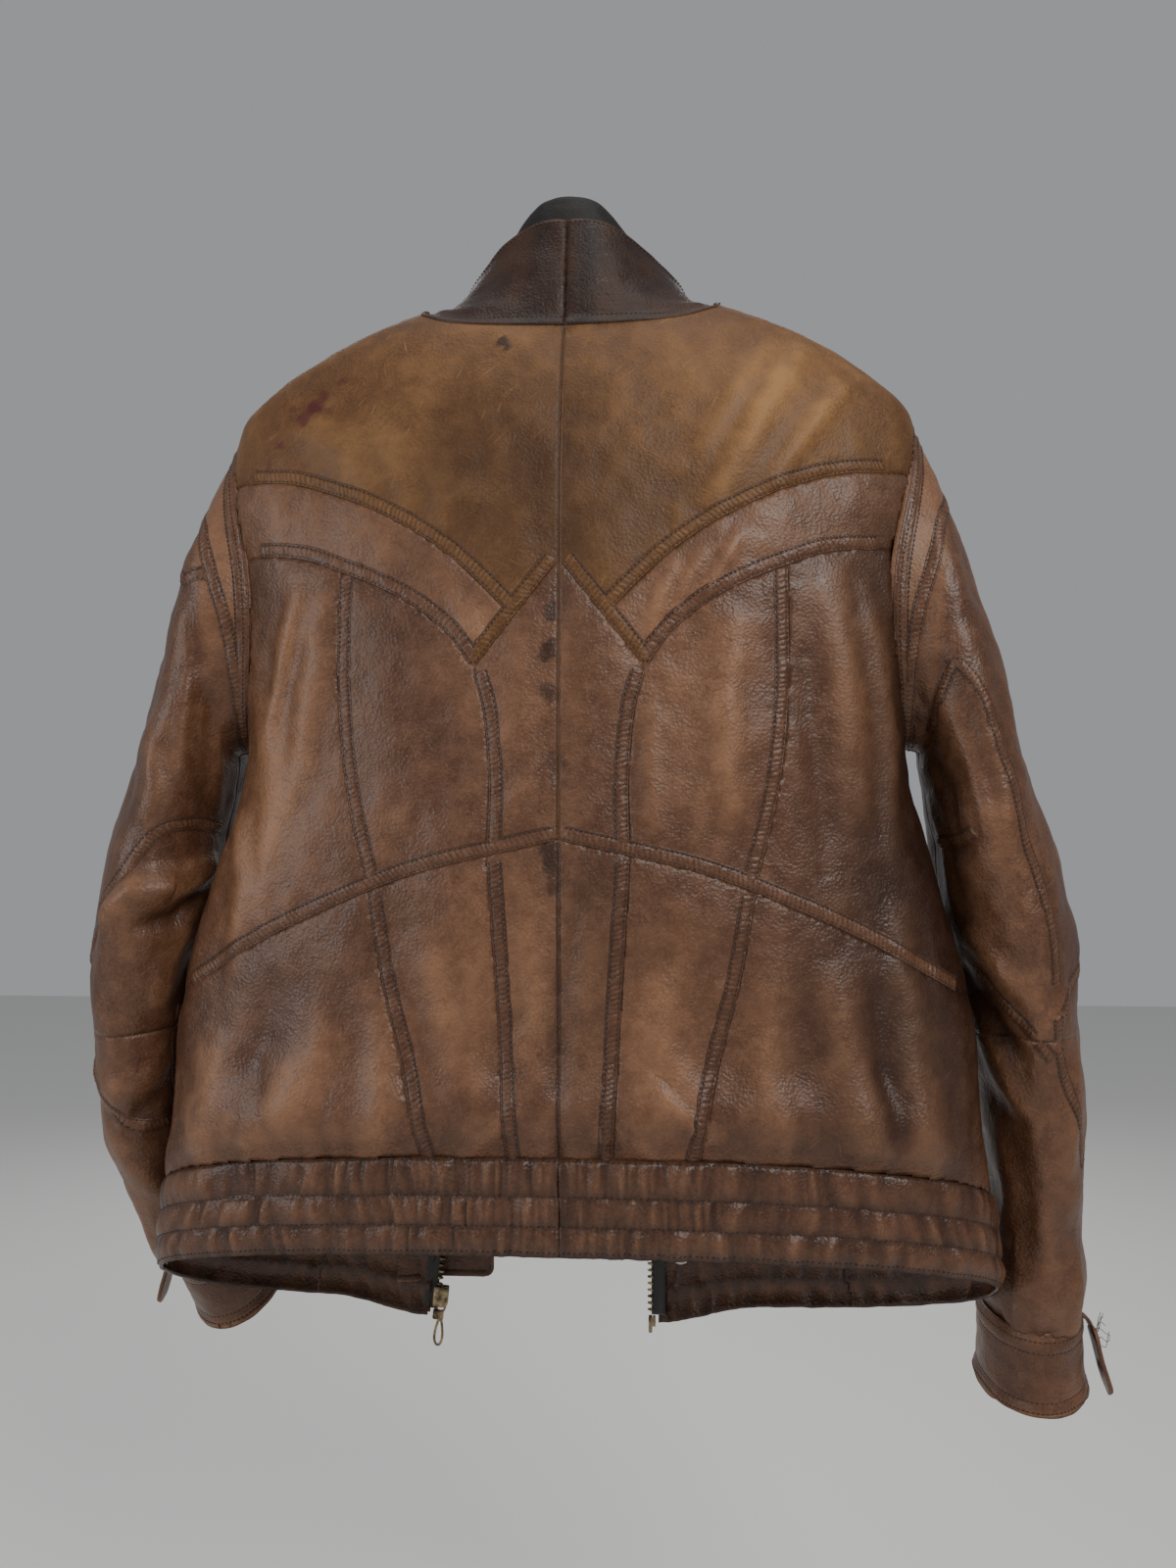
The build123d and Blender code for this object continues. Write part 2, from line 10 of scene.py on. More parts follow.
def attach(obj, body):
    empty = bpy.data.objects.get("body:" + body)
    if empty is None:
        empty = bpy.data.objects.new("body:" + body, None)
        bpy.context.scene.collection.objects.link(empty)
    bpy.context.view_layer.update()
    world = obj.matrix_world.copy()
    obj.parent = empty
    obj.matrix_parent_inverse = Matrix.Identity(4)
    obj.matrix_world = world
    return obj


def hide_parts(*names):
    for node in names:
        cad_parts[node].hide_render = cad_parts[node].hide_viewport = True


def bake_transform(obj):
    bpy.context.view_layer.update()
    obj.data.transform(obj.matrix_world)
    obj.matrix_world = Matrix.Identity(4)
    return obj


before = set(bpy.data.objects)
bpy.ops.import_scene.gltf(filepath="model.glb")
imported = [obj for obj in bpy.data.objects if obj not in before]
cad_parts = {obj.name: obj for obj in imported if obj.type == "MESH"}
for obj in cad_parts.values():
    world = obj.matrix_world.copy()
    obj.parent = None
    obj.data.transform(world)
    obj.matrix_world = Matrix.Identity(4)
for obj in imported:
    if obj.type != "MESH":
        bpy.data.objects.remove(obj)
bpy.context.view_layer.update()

# Everything below is in millimetres until a mesh is made.
MM = 0.001

# height, half width, depth of the back, depth of the front
STATIONS = np.array([
    (-760, 300, 86, 102), (-680, 298, 88, 101), (-590, 290, 90, 100), (-520, 281, 92, 99.5),
    (-452, 272, 94, 99), (-384, 256, 97, 98.5), (-285, 232, 98, 98), (-180, 240, 97, 98),
    (-110, 248, 92, 97), (-60, 240, 82, 84), (-30, 212, 72, 74), (0, 165, 58, 62),
    (29, 105, 36, 40), (60, 60, 30, 30),
], float)
SQUARE = 2.4
SIDES = (("left", 1.0), ("right", -1.0))


# ---- small maths ---------------------------------------------------------------
def hermite(xs, ys, x):
    """Smooth curve through the points (xs, ys), xs rising."""
    xs, ys, x = np.asarray(xs, float), np.asarray(ys, float), np.asarray(x, float)
    d = np.diff(ys) / np.diff(xs)
    m = np.empty(len(xs))
    m[0], m[-1] = d[0], d[-1]
    m[1:-1] = np.where(d[:-1] * d[1:] > 0, 2 * d[:-1] * d[1:] / np.where(d[:-1] + d[1:] == 0, 1, d[:-1] + d[1:]), 0)
    i = np.clip(np.searchsorted(xs, x) - 1, 0, len(xs) - 2)
    h = xs[i + 1] - xs[i]
    t = np.clip((x - xs[i]) / h, 0, 1)
    return ((2 * t**3 - 3 * t**2 + 1) * ys[i] + (t**3 - 2 * t**2 + t) * h * m[i]
            + (3 * t**2 - 2 * t**3) * ys[i + 1] + (t**3 - t**2) * h * m[i + 1])


def smooth(lo, hi, x):
    t = np.clip((x - lo) / (hi - lo), 0, 1)
    return t * t * (3 - 2 * t)


def noise(p, size, seed):
    """Value noise from -1 to 1 of points p, its lumps about `size` across; size may be three numbers."""
    table = np.random.RandomState(seed).uniform(-1, 1, (32, 32, 32))
    q = np.asarray(p, float) / np.asarray(size, float) + 1000.0
    i = np.floor(q).astype(int)
    f = q - i
    f = f * f * f * (f * (f * 6 - 15) + 10)
    out = 0.0
    for a in (0, 1):
        for b in (0, 1):
            for c in (0, 1):
                w = ((f[:, 0] if a else 1 - f[:, 0]) * (f[:, 1] if b else 1 - f[:, 1]) * (f[:, 2] if c else 1 - f[:,
                    2]))
                out = out + w * table[(i[:, 0] + a) % 32, (i[:, 1] + b) % 32, (i[:, 2] + c) % 32]
    return out


def near_line(x, z, line):
    """Distance of each point (x, z) from a polyline, and how far along it the nearest place is."""
    best, along, start = np.full(len(x), 1e9), np.zeros(len(x)), 0.0
    for (x0, z0), (x1, z1) in zip(line[:-1], line[1:]):
        dx, dz = x1 - x0, z1 - z0
        length = math.hypot(dx, dz)
        t = np.clip(((x - x0) * dx + (z - z0) * dz) / length**2, 0, 1)
        d = np.hypot(x - x0 - t * dx, z - z0 - t * dz)
        along = np.where(d < best, start + t * length, along)
        best = np.minimum(best, d)
        start += length
    return best, along, start


def folds(x, z, table):
    """Height of soft folds: each is a line, a width, a height, and it fades out towards both ends."""
    h = np.zeros(len(x))
    for line, width, height in table:
        d, s, total = near_line(x, z, line)
        fade = np.sin(np.pi * np.clip(s / total, 0.0, 1.0)) ** 0.7
        h += height * fade * np.exp(-((d / width) ** 2))
    return h


def curve(points, step=2.0, closed=False):
    """A smooth, evenly spaced polyline through the points (2-D or 3-D)."""
    p = np.asarray(points, float)
    if closed:
        p = np.vstack([p, p[:1]])
    p = p[np.append(True, np.linalg.norm(np.diff(p, axis=0), axis=1) > 1e-6)]
    if len(p) > 2:
        k = np.concatenate([[0], np.cumsum(np.linalg.norm(np.diff(p, axis=0), axis=1))])
        m = np.empty_like(p)
        m[1:-1] = (p[2:] - p[:-2]) / (k[2:] - k[:-2])[:, None]
        m[0], m[-1] = (p[1] - p[0]) / (k[1] - k[0]), (p[-1] - p[-2]) / (k[-1] - k[-2])
        if closed:
            m[0] = m[-1] = (p[1] - p[-2]) / (k[1] + k[-1] - k[-2])
        fine = []
        for i in range(len(p) - 1):
            h = k[i + 1] - k[i]
            t = np.linspace(0, 1, 24, endpoint=False)[:, None]
            fine.append((2 * t**3 - 3 * t**2 + 1) * p[i] + (t**3 - 2 * t**2 + t) * h * m[i]
                        + (3 * t**2 - 2 * t**3) * p[i + 1] + (t**3 - t**2) * h * m[i + 1])
        p = np.vstack(fine + [p[-1:]])
    k = np.concatenate([[0], np.cumsum(np.linalg.norm(np.diff(p, axis=0), axis=1))])
    n = max(2, int(round(k[-1] / step)) + 1)
    s = np.linspace(0, k[-1], n)
    return np.stack([np.interp(s, k, p[:, j]) for j in range(p.shape[1])], 1)


def grid_faces(rows, cols, wrap=False):
    """Faces of a grid of rows x cols points; wrap joins the last column to the first."""
    r, c = np.meshgrid(np.arange(rows - 1), np.arange(cols if wrap else cols - 1), indexing="ij")
    n = (c + 1) % cols
    return np.stack([r * cols + c, r * cols + n, (r + 1) * cols + n, (r + 1) * cols + c], -1).reshape(-1, 4)


def normals(v, f):
    """Smooth vertex normals of a quad mesh."""
    n = np.cross(v[f[:, 2]] - v[f[:, 0]], v[f[:, 3]] - v[f[:, 1]])
    out = np.zeros_like(v)
    for k in range(4):
        np.add.at(out, f[:, k], n)
    return out / np.maximum(np.linalg.norm(out, axis=1), 1e-9)[:, None]


def shell(v, n, f, thick, chosen=None):
    """A closed skin: the faces, their copy `thick` inside, and a wall along every edge. Returns points, faces, source index."""
    if chosen is not None:
        f = f[chosen]
    used = np.unique(f)
    index = np.full(len(v), -1)
    index[used] = np.arange(len(used))
    f = index[f]
    count = len(used)
    points = np.vstack([v[used], v[used] - n[used] * thick])
    e = np.concatenate([f[:, [0, 1]], f[:, [1, 2]], f[:, [2, 3]], f[:, [3, 0]]])
    key = np.minimum(e[:, 0], e[:, 1]) * np.int64(count) + np.maximum(e[:, 0], e[:, 1])
    _, first, times = np.unique(key, return_index=True, return_counts=True)
    rim = e[first[times == 1]]
    wall = np.stack([rim[:, 1], rim[:, 0], rim[:, 0] + count, rim[:, 1] + count], -1)
    return points, np.vstack([f, f[:, ::-1] + count, wall]), np.concatenate([used, used])


def tree_of(v, f):
    return BVHTree.FromPolygons([tuple(p) for p in v], [tuple(int(i) for i in q) for q in f])


PIECES = {}


def make(name, v, f, material, tone=None, rest=None, body=None, blend=None, stands_for=(), slot=None, sharp=False):
    """One piece. tone is wear, darkness (real dirt and painted shade), stain for each point; rest is where its material
    pattern is fixed.
    """
    mesh = bpy.data.meshes.new(name)
    v = np.asarray(v, float)
    mesh.from_pydata((v * MM).tolist(), [], [tuple(int(i) for i in q if i >= 0) for q in f])
    if rest is None:
        rest = v
    a = mesh.attributes.new("rest", "FLOAT_VECTOR", "POINT")
    a.data.foreach_set("vector", (np.asarray(rest, np.float32) * MM).ravel())
    t = np.zeros((len(v), 4), np.float32)
    t[:, 3] = 1
    if tone is not None:
        t[:, :3] = np.clip(tone, 0, 1)
    a = mesh.attributes.new("tone", "FLOAT_COLOR", "POINT")
    a.data.foreach_set("color", t.ravel())
    mesh.polygons.foreach_set("use_smooth", [not sharp] * len(mesh.polygons))
    mesh.validate()
    mesh.update()
    o = bpy.data.objects.new(name, mesh)
    bpy.context.scene.collection.objects.link(o)
    o.data.materials.append(material)
    if blend:
        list(blend)
        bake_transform(o)
    else:
        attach(o, body)
    if stands_for:
        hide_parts(*stands_for)
    PIECES[name] = o
    return o


# ---- materials -------------------------------------------------------------------
class Nodes:
    """A short way to write a node tree."""

    def __init__(self, name):
        self.material = bpy.data.materials.new(name)
        self.material.use_nodes = True
        self.tree = self.material.node_tree
        self.shader = self.tree.nodes["Principled BSDF"]

    def add(self, kind, inputs=None, **values):
        node = self.tree.nodes.new(kind)
        for k, v in values.items():
            setattr(node, k, v)
        for k, v in (inputs or {}).items():
            socket = node.inputs[k]
            if hasattr(v, "is_linked"):
                self.tree.links.new(v, socket)
            else:
                socket.default_value = v
        return node

    def rest(self):
        return self.add("ShaderNodeAttribute", attribute_name="rest").outputs["Vector"]

    def tone(self):
        a = self.add("ShaderNodeAttribute", attribute_name="tone")
        return self.add("ShaderNodeSeparateColor", {"Color": a.outputs["Color"]}).outputs

    def noise(self, vector, scale, detail=2.0, rough=0.5, distort=0.0):
        return self.add("ShaderNodeTexNoise", {"Vector": vector, "Scale": scale, "Detail": detail,
                                              "Roughness": rough, "Distortion": distort}).outputs["Fac"]

    def voronoi(self, vector, scale, feature="F1", out="Distance", jitter=1.0):
        return self.add("ShaderNodeTexVoronoi", {"Vector": vector, "Scale": scale, "Randomness": jitter},
                        feature=feature).outputs[out]

    def math(self, op, a, b=0.5, clamp=False):
        return self.add("ShaderNodeMath", {0: a, 1: b}, operation=op, use_clamp=clamp).outputs[0]

    def span(self, value, lo, hi, to_lo=0.0, to_hi=1.0):
        return self.add("ShaderNodeMapRange", {"Value": value, "From Min": lo, "From Max": hi,
                                              "To Min": to_lo, "To Max": to_hi}).outputs["Result"]

    def mix(self, fac, a, b, kind="MIX"):
        node = self.add("ShaderNodeMix", data_type="RGBA", blend_type=kind)
        for socket, v in ((node.inputs[0], fac), (node.inputs[6], a), (node.inputs[7], b)):
            if hasattr(v, "is_linked"):
                self.tree.links.new(v, socket)
            else:
                socket.default_value = v
        return node.outputs[2]

    def turned(self, vector, angle, scale):
        return self.add("ShaderNodeMapping", {"Vector": vector, "Rotation": angle, "Scale": scale}).outputs["Vector"]

    def bump(self, height, distance, strength, normal=None):
        node = self.add("ShaderNodeBump", {"Height": height, "Distance": distance, "Strength": strength})
        if normal is not None:
            self.tree.links.new(normal, node.inputs["Normal"])
        return node.outputs["Normal"]

    def set(self, name, value):
        socket = self.shader.inputs[name]
        if hasattr(value, "is_linked"):
            self.tree.links.new(value, socket)
        else:
            socket.default_value = value


def rgb(r, g, b):
    return (r, g, b, 1.0)


def leather(name, dark, mid, light, worn, scratch=0.0, gloss=0.42, grain=0.5, coat=0.12):
    """Aniline leather: mottled colour, worn and darkened places, pebble grain, creases and scratches."""
    n = Nodes(name)
    at = n.rest()
    wear, dirt_and_shade, stain = n.tone()[0], n.tone()[1], n.tone()[2]
    cloud = n.noise(at, 9.0, 3.0, 0.55, 0.4)
    mottle = n.noise(at, 95.0, 5.0, 0.68, 0.2)
    fine = n.noise(at, 620.0, 3.0, 0.65)
    colour = n.mix(n.span(cloud, 0.30, 0.72), dark, mid)
    colour = n.mix(n.math("MULTIPLY", n.span(mottle, 0.45, 0.75), 0.55), colour, light)
    colour = n.mix(n.math("MULTIPLY", n.span(fine, 0.48, 0.66), 0.42), colour, light)
    worn_mask = n.math("MULTIPLY", wear, n.span(n.math("ADD", mottle, n.math("MULTIPLY", fine, 0.35)), 0.38, 0.92,
        0.55, 1.25), clamp=True)
    colour = n.mix(worn_mask, colour, worn)
    pebble = n.voronoi(at, 560.0, "SMOOTH_F1")
    wrinkle_at = n.add("ShaderNodeVectorMath", {0: at, 1: n.add("ShaderNodeVectorMath", {0: n.add(
        "ShaderNodeTexNoise", {"Vector": at, "Scale": 60.0, "Detail": 2.0}).outputs["Color"], 3: 0.012},
        operation="SCALE").outputs[0]}, operation="ADD").outputs[0]
    crack = n.span(n.voronoi(wrinkle_at, 250.0, "DISTANCE_TO_EDGE"), 0.0, 0.08)
    crease_zone = n.span(n.noise(at, 22.0, 2.0, 0.5, 0.6), 0.40, 0.60)
    crease = n.math("MULTIPLY", n.math("SUBTRACT", 1.0, crack), crease_zone)
    # painted shade: the crease lines, which the bump below presses in, are darkened in the colour
    colour = n.mix(n.math("MULTIPLY", crease, 0.42), colour, rgb(dark[0] * 0.55, dark[1] * 0.5, dark[2] * 0.5))
    if scratch:
        marks = None
        for k, (angle, stretch) in enumerate(((0.5, 34.0), (-0.75, 30.0), (1.35, 36.0), (-1.2, 44.0))):
            line = n.noise(n.turned(n.turned(at, (0.0, angle, 0.15 * k), (1, 1, 1)), (0, 0, 0),
                (stretch, 30.0, 900.0)), 1.0, 2.0, 0.5, 0.25)
            where = n.noise(at, 21.0 + 11.0 * k, 2.0)
            m = n.math("MULTIPLY", n.span(line, 0.66, 0.74), n.span(where, 0.50, 0.66))
            marks = m if marks is None else n.math("MAXIMUM", marks, m)
        colour = n.mix(n.math("MULTIPLY", marks, scratch, clamp=True), colour,
            rgb(worn[0] * 1.15, worn[1] * 1.2, worn[2] * 1.25))
    # the second tone channel darkens the colour: real dirt, and painted shade in fold hollows, creases, seam grooves
    # and between gathers
    colour = n.mix(n.math("MULTIPLY", dirt_and_shade, 0.88, clamp=True), colour,
        rgb(dark[0] * 0.26, dark[1] * 0.28, dark[2] * 0.34))
    colour = n.mix(stain, colour, rgb(0.055, 0.008, 0.006))
    n.set("Base Color", colour)
    rough = n.span(n.math("ADD", n.math("MULTIPLY", mottle, 0.7), n.math("MULTIPLY", fine, 0.3)), 0.3, 0.75,
        gloss - 0.09, gloss + 0.15)
    rough = n.math("ADD", rough, n.math("MULTIPLY", worn_mask, 0.12), clamp=True)
    n.set("Roughness", rough)
    n.set("Coat Weight", coat)
    n.set("Coat Roughness", 0.34)
    n.set("Specular IOR Level", 0.28)
    soft = n.noise(at, 140.0, 3.0, 0.55)
    normal = n.bump(soft, 0.0011, 0.55 * grain)
    normal = n.bump(crease, 0.0008, -0.6 * grain, normal)
    normal = n.bump(pebble, 0.0007, grain, normal)
    n.set("Normal", normal)
    return n.material


def cloth(name, dark, light, threads=900.0, rough=0.75, sheen=0.3, slant=0.0):
    """Woven cloth: crossing threads with uneven colour."""
    n = Nodes(name)
    at = n.turned(n.rest(), (0.0, slant, 0.0), (1.0, 1.0, 1.0))
    warp = n.add("ShaderNodeTexWave", {"Vector": at, "Scale": threads / 3.2, "Distortion": 0.6, "Detail": 1.0},
                 bands_direction="X").outputs["Fac"]
    weft = n.add("ShaderNodeTexWave", {"Vector": at, "Scale": threads / 3.2, "Distortion": 0.6, "Detail": 1.0},
                 bands_direction="Z").outputs["Fac"]
    weave = n.math("MULTIPLY", warp, weft)
    blotch = n.noise(at, 30.0, 3.0)
    n.set("Base Color", n.mix(n.math("ADD", n.math("MULTIPLY", weave, 0.6), n.math("MULTIPLY", blotch, 0.5),
        clamp=True), dark, light))
    n.set("Roughness", n.span(blotch, 0.3, 0.7, rough - 0.08, rough + 0.1))
    n.set("Sheen Weight", sheen)
    n.set("Normal", n.bump(weave, 0.0002, 0.6, n.bump(blotch, 0.001, 0.3)))
    return n.material


def metal(name, bright, tarnish, rough=0.35):
    """Old plated metal: tarnish in blotches, fine scratches."""
    n = Nodes(name)
    at = n.rest()
    blotch = n.noise(at, 160.0, 4.0, 0.6)
    scratch = n.noise(n.turned(at, (0.2, 0.6, 0.0), (200.0, 2000.0, 2400.0)), 1.0, 2.0)
    n.set("Base Color", n.mix(n.span(blotch, 0.38, 0.62), bright, tarnish))
    n.set("Metallic", 1.0)
    n.set("Roughness", n.span(n.math("ADD", blotch, n.math("MULTIPLY", scratch, 0.5)), 0.4, 1.1, rough - 0.1,
        rough + 0.25))
    n.set("Normal", n.bump(scratch, 0.0001, 0.35, n.bump(blotch, 0.0004, 0.3)))
    return n.material


def thread(name, dark, light):
    """Twisted sewing thread."""
    n = Nodes(name)
    at = n.rest()
    n.set("Base Color", n.mix(n.span(n.noise(at, 260.0, 3.0), 0.35, 0.7), dark, light))
    n.set("Roughness", n.span(n.noise(at, 900.0, 2.0), 0.3, 0.7, 0.6, 0.85))
    twist = n.add("ShaderNodeTexWave", {"Vector": at, "Scale": 700.0, "Distortion": 1.5},
        bands_direction="DIAGONAL").outputs["Fac"]
    n.set("Normal", n.bump(twist, 0.0001, 0.5))
    return n.material


YOKE = leather("yoke_leather", rgb(0.062, 0.0222, 0.0050), rgb(0.081, 0.0303, 0.0072), rgb(0.135, 0.0565, 0.0155),
    rgb(0.28, 0.140, 0.050), scratch=0.6, gloss=0.50, grain=0.60, coat=0.02)
BODY = leather("body_leather", rgb(0.043, 0.0165, 0.0088), rgb(0.063, 0.0248, 0.0132), rgb(0.122, 0.0540, 0.0295),
    rgb(0.225, 0.108, 0.054), scratch=0.35, gloss=0.37, grain=0.70, coat=0.08)
COLLAR = leather("collar_leather", rgb(0.018, 0.0056, 0.0020), rgb(0.025, 0.0078, 0.0028), rgb(0.044, 0.0148, 0.0054),
    rgb(0.13, 0.055, 0.022), scratch=0.15, gloss=0.44, grain=0.60, coat=0.04)
FACING = leather("dark_facing", rgb(0.004, 0.0034, 0.003), rgb(0.0055, 0.0048, 0.0045), rgb(0.009, 0.0075, 0.007),
    rgb(0.03, 0.023, 0.018), gloss=0.55, grain=0.35, coat=0.0)
LINING = cloth("lining_cloth", rgb(0.020, 0.011, 0.008), rgb(0.060, 0.034, 0.024), rough=0.55, sheen=0.25)
RIB = cloth("elastic_rib", rgb(0.010, 0.010, 0.011), rgb(0.040, 0.040, 0.042), threads=500.0, rough=0.85)
TAPE = cloth("zip_tape", rgb(0.012, 0.011, 0.011), rgb(0.035, 0.032, 0.030), threads=1200.0, rough=0.8, slant=0.5)
BRASS = metal("aged_brass", rgb(0.34, 0.26, 0.15), rgb(0.07, 0.052, 0.034), 0.38)
STEEL = metal("snap_metal", rgb(0.52, 0.50, 0.46), rgb(0.20, 0.17, 0.14), 0.30)
THREAD = thread("seam_thread", rgb(0.010, 0.0045, 0.0025), rgb(0.040, 0.017, 0.008))


# ---- the body's surface ------------------------------------------------------------
def station(z):
    """Half width, depth of the back and depth of the front at heights z."""
    s = STATIONS
    return tuple(hermite(s[:, 0], s[:, k], z) for k in (1, 2, 3))


def body_point(turn, z, inset=0.0):
    """Points of the left half: turn 0 is the centre back and pi the centre front."""
    a, back, front = station(z)
    a, back, front = a - inset, back - inset, front - inset
    x = a * np.abs(np.sin(turn)) ** (2 / SQUARE)
    c = np.cos(turn)
    y = np.where(c >= 0, back, front) * np.sign(c) * np.abs(c) ** (2 / SQUARE)
    return np.stack([x, y, z], -1)


NECK_LINE = curve([(58, 0), (28, 19), (0, 29), (-45, 2), (-86, -62)], 1.0)


def neck_height(y):
    """Height of the neckline."""
    line = NECK_LINE[::-1]
    z = np.interp(y, line[:, 0], line[:, 1])
    z = np.where(y > 58, 0 + (y - 58) * 3 / 82, z)
    return np.where(y < -86, -62 + (y + 86) * 22 / 54, z)


def band_height(y):
    return -603 + 0.5 * y


APEX, BAND_TIP, V_CORNER = (0, -171), (30, -209), (56, -242)
YOKE_SEAM = curve([BAND_TIP, (48, -190), (70, -169), (95, -151), (120, -137), (149, -124), (181, -113), (215, -108),
    (262, -106)])
LOWER_SEAM = curve([V_CORNER, (73, -219), (98, -199), (124, -185), (148, -175), (175, -165), (209, -160),
    (262, -158)])
WAIST_SEAM = curve([(0, -353.5), (46, -363.5), (86, -373), (126, -387), (196, -418), (268, -458), (300, -476)])
INNER_SEAM = curve([V_CORNER, (49, -270), (45, -317), (46, -363.5), (41, -444), (33, -580), (31, -640)])
OUTER_SEAM = curve([(148, -175), (148, -254), (142, -317), (126, -387), (116, -444), (100, -507), (86, -580),
    (74, -640)])
FRONT_YOKE = curve([(60, -158), (150, -168), (262, -148)])


def fold_x(z):
    """x of the line on which the undone front swings."""
    return 57 + (z + 62) / (-740 + 62) * (215 - 57)


def zip_x(side, z):
    bottom = 113.0 if side == "left" else 53.0
    return 52.0 + (z + 75.0) / (-722.0 + 75.0) * (bottom - 52.0)


def panel_of(side, x, y, z):
    """Which panel each point belongs to, by number in PANELS; -1 where there is no leather."""
    yoke = np.where(x < 30, APEX[1] + (BAND_TIP[1] - APEX[1]) / 30 * x,
        np.interp(x, YOKE_SEAM[:, 0], YOKE_SEAM[:, 1]))
    low = np.where(x < 30, yoke, np.where(x < 56, BAND_TIP[1] + (x - 30) / 26 * (V_CORNER[1] - BAND_TIP[1]),
                                          np.interp(x, LOWER_SEAM[:, 0], LOWER_SEAM[:, 1])))
    waist = np.interp(x, WAIST_SEAM[:, 0], WAIST_SEAM[:, 1])
    inner = np.interp(z, INNER_SEAM[::-1, 1], INNER_SEAM[::-1, 0])
    outer = np.interp(z, OUTER_SEAM[::-1, 1], OUTER_SEAM[::-1, 0])
    back = np.where(z > yoke, 0, np.where(z > low, 1, np.where(
        z > waist, np.where(x < inner, 2, np.where(x < outer, 3, 4)), np.where(x < inner, 5,
            np.where(x < outer, 6, 7)))))
    front = np.where(x < fold_x(z), 10, np.where(z > np.interp(x, FRONT_YOKE[:, 0], FRONT_YOKE[:, 1]), 8, 9))
    out = np.where(y > 0, back, front)
    out = np.where(z > neck_height(y), -1, out)
    out = np.where((y < 0) & (x < zip_x(side, z) + 7.0), -1, out)
    out = np.where(((y + 3) / 52) ** 2 + ((z + 173) / 115) ** 2 + np.where(x < 150, 9, 0) < 1, -1, out)
    return out


PANELS = ["back_yoke", "yoke_band", "centre_back", "mid_back", "side_back", "lower_centre", "lower_back",
          "lower_side", "front_yoke", "front_side", "front_panel"]

# rows evenly spaced down the side of the body, columns evenly spaced round it
ROW_STEP, COLUMN_STEP = 2.7, 2.9
_z = np.linspace(60, -700, 4000)
_run = np.concatenate([[0], np.cumsum(np.hypot(np.diff(_z), 0.75 * np.diff(station(_z)[0])))])
ROW_Z = np.interp(np.arange(0, _run[-1], ROW_STEP), _run, _z)
COLUMNS = 215


def body_grid(zs, columns, inset=0.0):
    """Grid of points, rows down and columns from the centre back to the centre front, evenly spaced round each row."""
    fine = np.linspace(0, np.pi, 900)
    out = []
    for z in zs:
        p = body_point(fine, np.full(900, z), inset)
        k = np.concatenate([[0], np.cumsum(np.linalg.norm(np.diff(p, axis=0), axis=1))])
        turn = np.interp(np.linspace(0, k[-1], columns), k, fine)
        out.append(body_point(turn, np.full(columns, z), inset))
    return np.array(out)


# soft folds of the back, as ((x, z) points, width, height), x towards the side
FOLDS = {
    "left": [
        ([(176, -182), (190, -236), (203, -300)], 7, 4.5), ([(160, -190), (170, -260), (182, -340)], 10, 3.0),
        ([(60, -196), (52, -222), (50, -232)], 3.5, 1.6), ([(74, -186), (62, -212), (60, -226)], 3.5, 1.4),
        ([(206, -250), (196, -330), (205, -420)], 13, 4.0), ([(226, -330), (216, -390), (228, -450)], 9, 3.5),
        ([(130, -60), (110, -100), (90, -140)], 16, 1.6), ([(180, -60), (150, -90), (128, -125)], 14, 1.6),
        ([(150, -470), (185, -530), (215, -570)], 18, 3.5), ([(96, -410), (70, -470), (62, -520)], 12, 2.6),
        ([(230, -480), (245, -540), (250, -590)], 16, 4.0), ([(120, -440), (112, -520), (128, -590)], 14, 2.4),
        ([(20, -380), (14, -450), (18, -520)], 9, 1.8), ([(190, -440), (205, -500), (190, -560)], 12, -2.4),
        ([(25, -520), (60, -560), (85, -575)], 6, 1.8), ([(12, -300), (30, -330), (42, -352)], 6, 1.2),
    ],
    "right": [
        ([(168, -16), (134, -70), (96, -140)], 9, 3.6), ([(196, -40), (158, -92), (134, -128)], 7, 2.6),
        ([(144, -14), (112, -66), (84, -118)], 8, 2.0), ([(120, -150), (104, -178), (92, -200)], 5, 2.4),
        ([(98, -160), (82, -188), (74, -212)], 4, 2.0), ([(76, -172), (66, -198), (60, -222)], 4, 2.0),
        ([(112, -205), (108, -270), (112, -350)], 11, 3.4), ([(62, -262), (58, -310), (60, -350)], 6, 1.6),
        ([(176, -170), (186, -260), (196, -350)], 12, 4.4), ([(200, -180), (212, -280), (222, -380)], 7, 4.0),
        ([(160, -200), (164, -290), (176, -380)], 9, -2.6), ([(224, -390), (222, -440), (238, -490)], 10, 3.4),
        ([(176, -430), (186, -500), (202, -580)], 13, 4.2), ([(226, -470), (232, -540), (238, -600)], 12, 4.6),
        ([(140, -420), (132, -500), (150, -580)], 14, 3.0), ([(70, -430), (64, -480), (92, -530)], 9, 2.4),
        ([(52, -500), (78, -526), (104, -548)], 5, 2.6), ([(44, -545), (66, -560), (96, -566)], 5, 2.0),
        ([(20, -390), (16, -460), (12, -540)], 8, 1.8), ([(204, -440), (208, -500), (216, -560)], 8, -3.0),
    ],
}
FRONT_FOLDS = {
    "left": [([(190, -190), (196, -300), (210, -420)], 14, 4.0), ([(160, -240), (180, -380), (200, -520)], 16, 3.0),
             ([(120, -200), (150, -330), (160, -460)], 15, 2.0), ([(220, -420), (240, -520), (236, -620)], 14, 4.0),
             ([(90, -300), (110, -420), (150, -560)], 14, -2.0)],
    "right": [([(185, -190), (200, -310), (204, -430)], 13, 4.4), ([(150, -230), (170, -370), (196, -510)], 15, 3.4),
              ([(110, -220), (140, -350), (150, -480)], 15, 2.2), ([(225, -430), (235, -530), (240, -630)], 12, 4.4),
              ([(84, -280), (104, -430), (130, -580)], 16, 2.0)],
}
ALL_SEAMS = [YOKE_SEAM, LOWER_SEAM, WAIST_SEAM, INNER_SEAM, OUTER_SEAM,
             np.array([APEX, V_CORNER], float), np.array([(0, 10), (0, -640)], float)]
